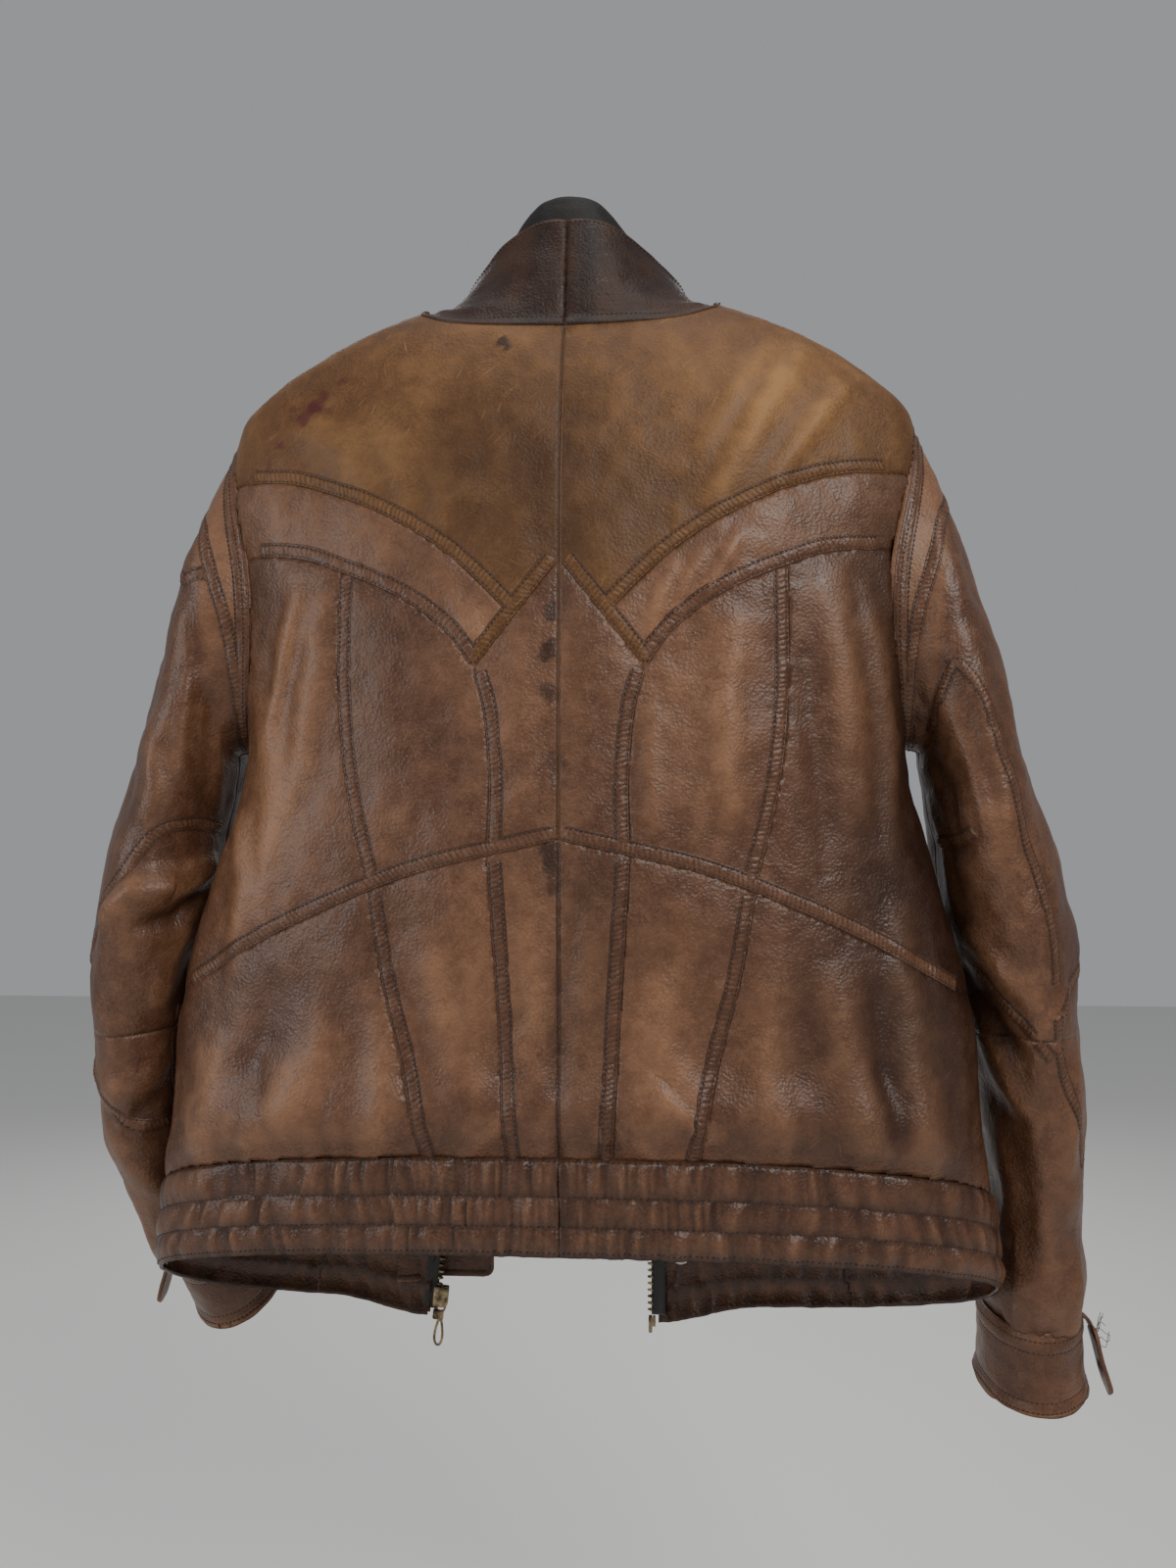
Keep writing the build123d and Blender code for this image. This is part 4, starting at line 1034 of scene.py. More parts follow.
# ---- collar ----------------------------------------------------------------------------------
# foot, top of the leather and how far the dark facing stands above it, from the centre back to the front
COLLAR_LINE = [
    ((0, 57.5, 3.0), (0, 36, 80), 24), ((40, 56.5, 7.5), (28, 31, 79), 22), ((78, 41.5, 22.0), (56, 10, 66), 12),
    ((105, 8.0, 35.5), (82, -28, 49), 6), ((108, -28.0, 25.5), (99, -78, 24), 2), ((91, -65.0, -14.0),
        (98, -115, -26), 1),
    ((63, -97.5, -57.5), (80, -142, -88), 0),
]


def three(points, count):
    """`count` evenly spaced points on a smooth curve, which leaves the middle plane squarely."""
    p = np.array(points, float)
    whole = np.vstack([p[:0:-1] * [-1, 1, 1], p])
    fine = curve(whole, 0.5)
    half = fine[int(np.argmin(np.abs(fine[:, 0]) + (np.abs(fine[:, 1] - p[0, 1]) > 3) * 99)):]
    k = np.concatenate([[0], np.cumsum(np.linalg.norm(np.diff(half, axis=0), axis=1))])
    s = np.linspace(0, k[-1], count)
    return np.stack([np.interp(s, k, half[:, j]) for j in range(3)], 1)


def neck_edge(count):
    """The left half of the body's neck edge, just outside the leather, from the centre back to the front."""
    out = []
    heights = np.linspace(58, -90, 1480)
    for turn in np.linspace(0, np.pi, 400):
        p = body_point(np.full(1480, turn), heights)
        low = np.where(p[:, 2] <= neck_height(p[:, 1]))[0]
        q = p[low[0]]
        if q[1] < 0 and q[0] < 61:
            break
        out.append(q)
    out = smoothed(np.array(out), 12)
    k = np.concatenate([[0], np.cumsum(np.linalg.norm(np.diff(out, axis=0), axis=1))])
    s = np.linspace(0, k[-1], count)
    return np.stack([np.interp(s, k, out[:, j]) for j in range(3)], 1)


def collar_grid(grow, rows, columns, low=0.0):
    """Grid of the left half, rows up from the foot."""
    foot = neck_edge(columns)
    top = three([tuple(np.array(c[1]) + (np.array(c[1]) - np.array(c[0])) / np.linalg.norm(np.array(c[1]) - np.array(c[0])) * c[2] * grow)
                 for c in COLLAR_LINE], columns)
    t = np.linspace(low, 1, rows)[:, None, None]
    return foot[None] * (1 - t) + top[None] * t


COLLAR_COLUMNS, COLLAR_TREES = 110, {}
for side, sign in SIDES:
    rows = 42
    flat = collar_grid(0, rows, COLLAR_COLUMNS, -0.05).reshape(-1, 3)
    faces = grid_faces(rows, COLLAR_COLUMNS)
    outward = flat - np.array([0, -40, 0])
    faces, n = oriented(flat, faces, outward)
    t = np.repeat(np.linspace(-0.05, 1, rows), COLLAR_COLUMNS)
    u = np.tile(np.linspace(0, 1, COLLAR_COLUMNS), rows)
    q = flat * [sign, 1, 1]
    relief = noise(q, (40, 40, 40), 101) * 2.0 + noise(q, (16, 16, 22), 102) * 0.7 + noise(q, (7, 7, 7), 103) * 0.25
    relief -= 3.0 * np.sin(np.pi * np.clip(t, 0, 1)) * smooth(0.05, 0.35, u) * smooth(1, 0.6, u)
    relief += folds(u * 190, t * 80, [([(20, 14), (60, 22), (104, 30)], 6, 1.6),
        ([(60, 70), (96, 52), (140, 44)], 8, -1.6),
                                     ([(110, 16), (140, 34), (170, 60)], 8, 1.4)])
    relief *= smooth(0.0, 0.10, t + 0.05) * 0.9 + 0.1
    relief = np.where(t < 0.0, 0.6, relief) + 0.35 * np.exp(-((t - 0.0) / 0.03) ** 2) + 0.5 * smooth(0.9, 1, t)
    gap = u * 190
    relief -= 1.1 * np.exp(-(gap / 1.6) ** 2) * smooth(-0.01, 0.02, t)
    v = flat + n * relief[:, None]
    for k in np.where(t < 0.075)[0]:
        at, way, _, _ = BODY_TREE.find_nearest(tuple(v[k]))
        if way.dot(Vector(n[k])) < 0:
            way = -way
        hug = smooth(0.075, 0.0, t[k])
        v[k] = v[k] * (1 - hug) + np.array(at + way * 0.7) * hug
    v[u == 0, 0] = 0
    v, q = v * [sign, 1, 1], q
    faces, n = oriented(v, faces, v - np.array([0, -40, 0]))
    n[u == 0, 0] = 0
    n /= np.linalg.norm(n, axis=1)[:, None]
    streak = 0.65 * np.exp(-((u * 190 * sign + 9) / 5.0) ** 2) + 0.45 * np.exp(-((u * 190 * sign - 12) / 7.0) ** 2) + 0.35 * np.exp(-((u * 190 * sign + 30) / 9.0) ** 2)
    wear = 0.10 + 0.18 * noise(q, (30, 30, 30), 104) + 0.25 * smooth(0.93, 1, t) + 0.30 * smooth(0.10, 0.0, t)
    dirt_and_shade = 0.15 + 0.15 * noise(q, (24, 24, 24), 105) + streak * (0.6 + 0.4 * t)
    dirt_and_shade += 0.3 * smooth(0.12, 0.0, t) * smooth(0.6, 0.2, u) + 0.16
    tone = np.stack([wear, dirt_and_shade, t * 0], 1)
    pv, pf, source = shell(v, n, faces, 2.2)
    make(f"collar_{side}", pv, pf, COLLAR, tone[source], q[source], body="torso", stands_for=[f"collar_{side}"],
        slot="body_leather")
    COLLAR_TREES[side] = tree_of(v, faces)
    grid = v.reshape(rows, COLLAR_COLUMNS, 3)
    sv, sf, count = [], [], 0
    for row, part in ((-2, slice(0, None)), (4, slice(0, None))):
        a, b = stitches(follow(grid[row][part], COLLAR_TREES[side]), COLLAR_TREES[side], 0.0, 0.05)
        sv.append(a)
        sf += [tuple(j + count if j >= 0 else -1 for j in k) for k in b]
        count += len(a)
    make(f"stitches_collar_{side}", np.vstack(sv), sf, THREAD, slot="body_leather", body="torso")

fv, ff, ft, fr, count = [], [], [], [], 0
for side, sign in SIDES:
    rows = 44
    flat = collar_grid(1, rows, COLLAR_COLUMNS, 0.05).reshape(-1, 3)
    faces, n = oriented(flat, grid_faces(rows, COLLAR_COLUMNS), flat - np.array([0, -40, 0]))
    u = np.tile(np.linspace(0, 1, COLLAR_COLUMNS), rows)
    t = np.repeat(np.linspace(0.05, 1, rows), COLLAR_COLUMNS)
    q = flat * [sign, 1, 1]
    inset = 3.4 + 0.5 * noise(q, (20, 20, 20), 111) + 0.25 * noise(q, (7, 7, 7),
        112) + 3.0 * np.sin(np.pi * t) * smooth(0.05, 0.35, u) * smooth(1, 0.6, u)
    inset += 0.8 * smooth(0.88, 1.0, t)
    v = (flat - n * inset[:, None])
    v[u == 0, 0] = 0
    v = v * [sign, 1, 1]
    faces, n = oriented(v, faces, v - np.array([0, -40, 0]))
    n[u == 0, 0] = 0
    fv.append(v)
    ff.append(faces + count)
    ft.append(np.stack([0.1 + 0.5 * smooth(0.96, 1.0, t) + 0.1 * noise(q, (12, 12, 12), 113), 0.1 + t * 0, t * 0], 1))
    fr.append(q)
    count += len(v)
v, f, tone, q = np.vstack(fv), np.vstack(ff), np.vstack(ft), np.vstack(fr)
n = normals(v, f)
seam_at = np.abs(v[:, 0]) < 1e-6
n[seam_at, 0] = 0
n /= np.linalg.norm(n, axis=1)[:, None]
key = np.where(seam_at, np.round(v[:, 2] * 1000).astype(np.int64) * 1000 + np.round(v[:,
    1] * 100).astype(np.int64) % 1000, -1)
half = len(v) // 2
same = np.arange(len(v))
first = {int(k): i for i, k in enumerate(key[:half]) if k >= 0}
for i in range(half, len(v)):
    if key[i] >= 0 and int(key[i]) in first:
        same[i] = first[int(key[i])]
n[same != np.arange(len(v))] = n[same[same != np.arange(len(v))]]
pv, pf, source = shell(v, n, same[f], 1.4)
make("collar_facing", pv, pf, FACING, tone[source], q[source], body="torso", stands_for=["collar_facing"],
    slot="dark_facing")


# ---- arms ---------------------------------------------------------------------------------------
UPPER = [((264, -112), (246, -293), -6, 60), ((284, -174), (248, -306), -10, 66), ((303, -242), (252, -326), -14, 71),
         ((323, -316), (257, -352), -18, 74), ((345, -390), (264, -400), -24, 76), ((357, -456), (277, -456), -30,
             72)]
LOWER = {"right": [((326, -40, -540), 34, 64), ((329, -52, -620), 33, 56), ((331, -60, -694), 33, 49)],
         "left": [((323, -46, -536), 35, 64), ((310, -74, -606), 34, 56), ((294, -106, -664), 33, 49)]}
ROUND = 156


def body_x(y, z):
    a, back, front = station(z)
    d = np.where(y > 0, back, front)
    return a * np.maximum(1 - np.abs(y / d) ** SQUARE, 0) ** (1 / SQUARE)


def arm_rings(side):
    """Rings of points down the arm, from the armhole to the end of the sleeve; 0 is outermost, then back, inner and front."""
    g = np.linspace(0, 2 * np.pi, ROUND, endpoint=False)
    y, z = -3 + 52 * np.sin(g), -173 + 115 * np.cos(g)
    rings = [np.stack([body_x(y, z) - 1.0, y, z], 1)]
    for outer, inner, middle, depth in UPPER:
        o, i = np.array([outer[0], middle, outer[1]], float), np.array([inner[0], middle, inner[1]], float)
        rings.append((o + i) / 2 + np.outer(np.cos(g), (o - i) / 2) + np.outer(np.sin(g), [0, depth, 0]))
    centres = [np.array([317, -30, -457.2])] + [np.array(c[0], float) for c in LOWER[side]]
    for k, (c, width, depth) in enumerate(LOWER[side], 1):
        down = centres[min(k + 1, len(centres) - 1)] - centres[k - 1]
        down /= np.linalg.norm(down)
        a = np.array([1, 0, 0]) - down * down[0]
        a /= np.linalg.norm(a)
        b = np.cross(a, down)
        b = b if b[1] > 0 else -b
        rings.append(centres[k] + np.outer(np.cos(g), a * width) + np.outer(np.sin(g), b * depth))
    return np.array(rings), down, a, b


def arm_surface(side, step=3.0):
    rings, down, a, b = arm_rings(side)
    length = np.concatenate([[0], np.cumsum(np.linalg.norm(np.diff(rings, axis=0), axis=2).mean(1))])
    s = np.linspace(0, length[-1], int(length[-1] / step) + 1)
    out = np.empty((len(s), ROUND, 3))
    for c in range(ROUND):
        for k in range(3):
            out[:, c, k] = hermite(length, rings[:, c, k], s)
    return out, s, length, down, a, b


# folds as (u, s): u is round the arm in mm, 0 at the outside, 100 at the back, 200 at the inside; s is down it
ARM_FOLDS = {
    "left": [
        ([(190, 205), (150, 226), (104, 236), (70, 262)], 11, 11.0), ([(185, 232), (150, 256), (110, 262)], 7, -7.0),
        ([(170, 262), (150, 290), (146, 330)], 9, 4.0), ([(196, 270), (176, 300), (160, 330)], 8, -4.0),
        ([(60, 130), (100, 160), (150, 172)], 14, 3.0), ([(40, 170), (74, 190), (120, 200)], 12, -3.0),
        ([(40, 360), (80, 372), (130, 366), (176, 350)], 9, 4.0), ([(60, 386), (110, 392), (160, 372)], 7, -4.0),
        ([(80, 400), (110, 440), (150, 470)], 12, 3.5), ([(150, 390), (168, 430), (176, 470)], 10, 4.0),
        ([(60, 440), (70, 490), (90, 540)], 14, 3.0), ([(120, 500), (140, 540), (170, 560)], 12, 3.0),
        ([(40, 540), (90, 570), (150, 585)], 10, 3.0), ([(30, 100), (50, 60), (80, 30)], 12, 2.0),
        ([(110, 60), (120, 110), (140, 150)], 12, 2.4), ([(160, 20), (168, 90), (176, 160)], 9, 3.0),
        ([(-20, 250), (-60, 280), (-100, 290)], 12, 3.0), ([(-120, 330), (-90, 380), (-60, 420)], 14, 4.0),
        ([(-170, 330), (-110, 356), (-60, 350)], 11, -4.0), ([(-100, 450), (-80, 520), (-60, 580)], 15, 3.0),
        ([(-160, 100), (-120, 160), (-90, 220)], 14, 3.0),
    ],
    "right": [
        ([(150, 30), (130, 90), (120, 170), (118, 240)], 11, 4.5), ([(176, 60), (160, 130), (152, 210)], 8, -5.0),
        ([(190, 120), (180, 190), (170, 250)], 8, 4.0), ([(90, 90), (96, 170), (104, 240)], 12, 2.4),
        ([(170, 262), (130, 300), (100, 318)], 10, 5.0), ([(190, 290), (150, 336), (120, 352)], 9, -6.0),
        ([(180, 330), (140, 376), (110, 392)], 10, 5.5), ([(60, 300), (86, 322), (120, 330)], 9, 3.0),
        ([(40, 340), (66, 380), (76, 430)], 12, 3.0), ([(170, 380), (150, 440), (140, 500)], 13, 4.0),
        ([(110, 420), (104, 480), (112, 540)], 12, 3.0), ([(60, 470), (66, 540), (84, 590)], 12, 3.0),
        ([(130, 540), (110, 590), (92, 620)], 9, 4.0), ([(170, 560), (140, 606), (116, 628)], 8, -3.5),
        ([(50, 590), (80, 622), (100, 636)], 8, 3.5), ([(30, 60), (44, 120), (60, 170)], 12, 2.0),
        ([(-20, 250), (-60, 290), (-100, 300)], 12, 3.0), ([(-120, 330), (-90, 380), (-60, 420)], 14, 4.0),
        ([(-170, 330), (-110, 356), (-60, 350)], 11, -4.0), ([(-100, 450), (-80, 540), (-60, 600)], 15, 3.0),
        ([(-160, 100), (-120, 160), (-90, 220)], 14, 3.0),
    ],
}
# seams as (u, s), and the side that the band lies on
ARM_SEAMS = {
    "left": [("cap", [(2, 44), (30, 46), (56, 40), (80, 34), (104, 26), (130, 21), (160, 18), (190, 17)], 1),
             ("yoke", [(20, 86), (44, 70), (66, 60), (88, 30)], 1),
             ("crook", [(192, 178), (160, 178), (128, 192), (96, 226), (64, 262), (40, 296)], -1),
             ("crook_low", [(34, 300), (26, 340), (24, 374)], -1),
             ("elbow", [(196, 384), (160, 394), (120, 390), (84, 376), (50, 358), (22, 352)], 1),
             ("elbow_side", [(168, 322), (160, 350), (164, 388)], 1),
             ("front", [(-104, 60), (-104, 200), (-104, 330)], 1), ("front_low",
                 [(-104, 390), (-104, 480), (-104, 590)], 1)],
    "right": [("cap", [(2, 44), (30, 46), (56, 40), (80, 34), (104, 26), (130, 21), (160, 18), (190, 17)], 1),
              ("long", [(170, 34), (130, 44), (104, 70), (84, 110), (74, 170), (70, 240), (74, 300)], 1),
              ("long_low", [(78, 318), (70, 350), (54, 392), (34, 430)], 1),
              ("crook", [(194, 190), (170, 194), (146, 194), (130, 190)], -1),
              ("elbow", [(170, 296), (140, 322), (110, 344), (96, 352)], -1),
              ("elbow_up", [(72, 322), (56, 308), (30, 296), (10, 292)], -1),
              ("front", [(-104, 60), (-104, 200), (-104, 330)], 1), ("front_low",
                  [(-104, 390), (-104, 480), (-104, 610)], 1)],
}
CUT = 338.0


def arm_places(grid, s, points):
    """3-D points of (u, s) places on an arm."""
    p = curve(points, 2.0)
    col = (p[:, 0] / 400.0 * ROUND) % ROUND
    row = np.clip(p[:, 1] / (s[1] - s[0]), 0, len(s) - 1.001)
    c0, r0 = np.floor(col).astype(int), np.floor(row).astype(int)
    fc, fr_ = (col - c0)[:, None], (row - r0)[:, None]
    c1 = (c0 + 1) % ROUND
    return ((grid[r0, c0] * (1 - fc) + grid[r0, c1] * fc) * (1 - fr_) + (grid[r0 + 1, c0] * (1 - fc) + grid[r0 + 1,
        c1] * fc) * fr_)


for side, sign in SIDES:
    base, s, length, down, ax, bx = arm_surface(side)
    rows = len(s)
    flat = base.reshape(-1, 3)
    faces = grid_faces(rows, ROUND, wrap=True)
    axis = np.repeat(base.mean(1), ROUND, axis=0)
    faces, n = oriented(flat, faces, flat - axis)
    u = np.tile(np.arange(ROUND) * 400.0 / ROUND, rows)
    u = np.where(u > 200, u - 400, u)
    t = np.repeat(s, ROUND)
    q = flat * [sign, 1, 1]
    relief = noise(q, (44, 44, 60), 121) * 3.4 + noise(q, (20, 20, 26), 122) * 1.5 + noise(q, (9, 9, 12),
        123) * 0.45 + noise(q, (5, 5, 6), 124) * 0.18
    fold = folds(u, t, ARM_FOLDS[side]) + folds(u + 400, t, ARM_FOLDS[side])
    gap = np.full(len(u), 99.0)
    for _, line, _ in ARM_SEAMS[side]:
        fine = curve(line)[::5]
        for k in (0, 400):
            gap = np.minimum(gap, near_line(u + k, t, fine)[0])
    relief += fold - 1.3 * np.exp(-gap / 9.0) + 0.5 * noise(q, (5, 5, 5), 125) * np.exp(-gap / 14.0)
    end = s[-1] - t
    gathers = noise(np.stack([u, end * 0.15, u * 0], 1), (10, 9, 9), 126) * 2.6 * np.exp(-end / 26.0)
    relief += gathers + 5.0 * np.exp(-((end - 30) / 24.0) ** 2) - 2.0 * np.exp(-end / 6.0)
    relief *= smooth(0, 26, t)
    relief += noise(np.stack([u, t * 0.3, u * 0], 1), (12, 12, 12), 127) * 1.3 * np.exp(-t / 26.0) * smooth(0, 6, t)
    # the side next to the body stays clear of it
    relief = np.where(np.abs(u) > 140, np.minimum(relief, 2.0 + 40.0 * smooth(500, 300, np.full(len(u), 600.0))),
        relief)
    v = (flat + n * relief[:, None]) * [sign, 1, 1]
    axis = axis * [sign, 1, 1]
    faces, n = oriented(v, faces, v - axis)
    wear = 0.16 + 0.18 * noise(q, (50, 50, 70), 128) + 0.32 * np.clip(fold / 5.0, 0,
        1) + 0.2 * np.clip(noise(q, (9, 9, 12), 123), 0, 1)
    tan = smooth(46, 34, t) * (np.abs(u) < 150) * smooth(150, 90, np.abs(u))
    wear = wear + 0.60 * tan + 0.18 * smooth(300, 380, t) * np.exp(-((u - 70) / 60.0) ** 2)
    # painted shade: darker in the hollows of the folds and in the dip beside each seam, over uneven real dirt
    dirt_and_shade = 0.12 + 0.14 * noise(q, (40, 40, 60), 129) + 0.4 * np.clip(-fold / 5.0, 0, 1) + 0.15 * np.exp(-gap / 5.0)
    tone = np.stack([wear, dirt_and_shade, t * 0], 1)
    tree = tree_of(v, faces)
    grid = v.reshape(rows, ROUND, 3)
    cut = int(round(CUT / (s[1] - s[0])))
    upper_blend = ("torso", side + "_sleeve", (sign * 0.231, 0, -0.17), (sign * 0.285, 0, -0.17))
    lower_blend = (side + "_sleeve", side + "_forearm", (0, -0.02, -0.405), (0, -0.02, -0.515))
    fi = np.repeat(np.arange(rows - 1), ROUND)
    first_col = np.tile(np.arange(ROUND), rows - 1)
    at_back = (first_col < ROUND // 2)
    # a row of faces knows its row by its lowest index
    for name, chosen, blend in (("sleeve_back", at_back & (fi < cut), upper_blend),
        ("sleeve_front", ~at_back & (fi < cut), upper_blend),
                                ("forearm_back", at_back & (fi >= cut), lower_blend), ("forearm_front",
                                    ~at_back & (fi >= cut), lower_blend)):
        pv, pf, source = shell(v, n, faces, 1.8, chosen)
        make(f"{name}_{side}", pv, pf, BODY, tone[source], q[source], blend=blend, stands_for=[f"{name}_{side}"],
            slot="body_leather")
    for k, (name, line, lean) in enumerate(ARM_SEAMS[side]):
        place = arm_places(grid, s, line)
        low = min(p[1] for p in line) >= CUT - 2
        high = max(p[1] for p in line) <= CUT + 3
        if low or high:
            sew(f"{name}_{side}", place, tree, lean * sign, dict(blend=lower_blend if low else upper_blend), BODY,
                seed=201 + 7 * k, extra_wear=0.12)
        else:
            fine = curve(line, 2.0)
            for tag, keep, blend in (("a", fine[:, 1] <= CUT, upper_blend), ("b", fine[:, 1] >= CUT, lower_blend)):
                if keep.sum() > 4:
                    sew(f"{name}_{tag}_{side}", arm_places(grid, s, fine[keep][::3]), tree, lean * sign,
                        dict(blend=blend), BODY, seed=201 + 7 * k, extra_wear=0.12)
    # armhole: the body's seam laps over the start of the sleeve
    ring = grid[2]
    order = np.roll(np.arange(ROUND), -ROUND // 2)
    loop = ring[np.append(order, order[0])]
    sew(f"armhole_{side}", loop, tree, -sign, dict(blend=upper_blend), BODY, seed=301, extra_wear=0.10,
        rows=(1.5, 7.0),
        profile=[(k[0] - 3.0, k[1]) for k in LAP])
    # lining tube
    inner = flat - oriented(flat, grid_faces(rows, ROUND, wrap=True),
        flat - np.repeat(base.mean(1), ROUND, axis=0))[1] * (4.2 + 1.2 * np.clip(noise(q, (18, 18, 40), 131), -1,
        1) - np.clip(relief, -6, 0))[:, None]
    inner = inner * [sign, 1, 1]
    f2, n2 = oriented(inner, grid_faces(rows, ROUND, wrap=True), inner - axis)
    for name, chosen, blend in (("sleeve_lining", fi < cut, upper_blend), ("forearm_lining", fi >= cut, lower_blend)):
        pv, pf, source = shell(inner, n2, f2, 0.8, chosen)
        make(f"{name}_{side}", pv, pf, LINING, None, q[source], blend=blend, stands_for=[f"{name}_{side}"],
            slot="lining_cloth")
    # cuff
    last, g = base[-1].mean(0), np.linspace(0, 2 * np.pi, ROUND, endpoint=False)
    v, drops = [], np.concatenate([[-3.5, -2.0], np.linspace(0.2, 54, 26), [54.6, 54.0]])
    for d in drops:
        grow = 1.4 + 2.0 * np.clip(d / 54, 0, 1) + (2.2 if d >= 0 else 0.2) * 0.5 - (1.2 if d > 54.2 else 0)
        wave = 1.1 * np.sin(3 * g + (1 if sign > 0 else 2)) * np.clip(d / 54, 0, 1)
        v.append(last + down * d + np.outer(np.cos(g) * (33 + grow + wave),
            ax) + np.outer(np.sin(g) * (49 + grow + wave), bx))
    v = np.array(v).reshape(-1, 3)
    f2 = grid_faces(len(drops), ROUND, wrap=True)
    f2, n2 = oriented(v, f2, v - np.repeat(np.array([last + down * d for d in drops]), ROUND, axis=0))
    q2 = v * [sign, 1, 1]
    dd = np.repeat(drops, ROUND)
    relief = noise(q2, (26, 26, 26), 141) * 1.2 + noise(q2, (10, 10, 10), 142) * 0.5
    relief += 0.8 * np.exp(-((dd - 6) / 4.0) ** 2) + 0.7 * np.exp(-((dd - 51) / 3.0) ** 2) - 0.8 * np.exp(-((dd - 11) / 1.4) ** 2) - 0.8 * np.exp(-((dd - 46) / 1.4) ** 2)
    relief *= smooth(-4, 2, dd)
    v = (v + n2 * relief[:, None]) * [sign, 1, 1]
    f2, n2 = oriented(v, f2, v - np.repeat(np.array([last + down * d for d in drops]), ROUND, axis=0) * [sign, 1, 1])
    tone2 = np.stack([0.25 + 0.2 * noise(q2, (20, 20, 20), 143) + 0.4 * smooth(49, 54, dd),
        0.15 + 0.1 * noise(q2, (30, 30, 30), 144) + dd * 0, dd * 0], 1)
    pv, pf, source = shell(v, n2, f2, 3.0)
    make(f"cuff_{side}", pv, pf, BODY, tone2[source], q2[source], body=side + "_forearm", stands_for=[f"cuff_{side}"],
        slot="body_leather")
    cuff_tree = tree_of(v, f2)
    vg = v.reshape(len(drops), ROUND, 3)
    sv, sf, count = [], [], 0
    for d in (2.5, 11, 46, 51.5):
        i = int(np.argmin(np.abs(drops - d)))
        loop = vg[i][np.append(np.arange(ROUND), 0)]
        a, b = stitches(follow(loop, cuff_tree, 2.2), cuff_tree, 0.0, 0.15)
        sv.append(a)
        sf += [tuple(j + count if j >= 0 else -1 for j in k) for k in b]
        count += len(a)
    make(f"stitches_cuff_{side}", np.vstack(sv), sf, THREAD, slot="body_leather", body=side + "_forearm")

    # strap: a rounded leather tab with a turned edge and stitching round it
    root = np.array({"right": (372.5, -50, -704), "left": (331.5, -112, -680)}[side], float)
    lean = math.radians(12)
    along, out_, wide = np.array([math.sin(lean), 0, -math.cos(lean)]), np.array([math.cos(lean), 0,
        math.sin(lean)]), np.array([0, 1.0, 0])
    rings = []
    for edge, height in ((1.0, 0.35), (1.0, 1.2), (0.94, 2.2), (0.86, 2.6), (0.72, 2.3), (0.55, 2.5), (0.3, 2.7),
        (0.05, 2.75)):
        ring = []
        for k in range(72):
            a = 2 * math.pi * k / 72
            cx, cy = 9 * edge * math.cos(a), 9 * edge * math.sin(a)
            lx = 25 + math.copysign(16, math.cos(a)) * min(1, abs(math.cos(a)) * 6) + cx
            bend = 0.0016 * (lx - 4) ** 2 * 0.55
            ring.append(root + along * lx + wide * (cy * (1 + 0.04 * math.sin(lx / 5))) + out_ * (height + bend - 0.6))
        rings.append(ring)
    rings = np.array(rings)
    low = []
    for edge in (1.0, 0.6, 0.05):
        c = rings[0].mean(0)
        low.append(c + (rings[0] - c) * edge - out_ * 0.5)
    allr = np.array(low[::-1] + [r for r in rings])
    v = allr.reshape(-1, 3)
    f2 = grid_faces(len(allr), 72, wrap=True)
    centre = v.mean(0)
    v = np.vstack([v, allr[0].mean(0), allr[-1].mean(0)])
    tips = [(k, (k + 1) % 72, len(v) - 2, -1) for k in range(72)] + [((len(allr) - 1) * 72 + (k + 1) % 72,
        (len(allr) - 1) * 72 + k, len(v) - 1, -1) for k in range(72)]
    q2 = v * [sign, 1, 1]
    v = v + out_ * (0.5 * noise(q2, (7, 7, 7), 151))[:, None]
    v = v * [sign, 1, 1]
    f2 = np.vstack([f2, np.array(tips)])
    tone3 = np.stack([0.35 + 0.2 * noise(q2, (8, 8, 8), 152), 0.15 + 0 * q2[:, 0], 0 * q2[:, 0]], 1)
    make(f"cuff_strap_{side}", v, f2, BODY, tone3, q2, body=side + "_strap", stands_for=[f"cuff_strap_{side}"],
        slot="body_leather")
    # keeper: the doubled leather which holds the strap's root to the cuff
    start = root * [sign, 1, 1]
    at, way, _, _ = cuff_tree.find_nearest(tuple(start + np.array([0, 0, 8.0])))
    foot = np.array(at)
    aim = start - foot
    keeper = []
    for k, t in enumerate(np.linspace(0, 1, 18)):
        centre = foot + aim * (-0.25 + 1.12 * t) + np.array([sign * 1.4 * math.sin(math.pi * t), 0, 0])
        g = np.linspace(0, 2 * np.pi, 28, endpoint=False)
        across = np.sign(np.cos(g)) * np.abs(np.cos(g)) ** 0.5 * (7.2 - 0.8 * math.sin(math.pi * t))
        thick = np.sign(np.sin(g)) * np.abs(np.sin(g)) ** 0.7 * 1.3
        side_way = np.cross(aim / np.linalg.norm(aim), [0, 1.0, 0])
        keeper.append(centre + np.outer(across, [0, 1.0, 0]) + np.outer(thick, side_way / np.linalg.norm(side_way)))
    keeper = np.array(keeper)
    kv = np.vstack([keeper.reshape(-1, 3), keeper[0].mean(0), keeper[-1].mean(0)])
    ends = [((k + 1) % 28, k, len(kv) - 2, -1) for k in range(28)] + [(17 * 28 + k, 17 * 28 + (k + 1) % 28,
        len(kv) - 1, -1) for k in range(28)]
    kf = np.vstack([grid_faces(18, 28, wrap=True), np.array(ends)])
    make(f"strap_keeper_{side}", kv, kf, BODY, np.tile([0.3, 0.2, 0.0], (len(kv), 1)), slot="body_leather",
        body=side + "_forearm")
    edge_line = rings[4][np.append(np.arange(72), 0)] * [sign, 1, 1]
    strap_tree = BVHTree.FromPolygons([tuple(p) for p in v], [tuple(int(i) for i in k if i >= 0) for k in f2])
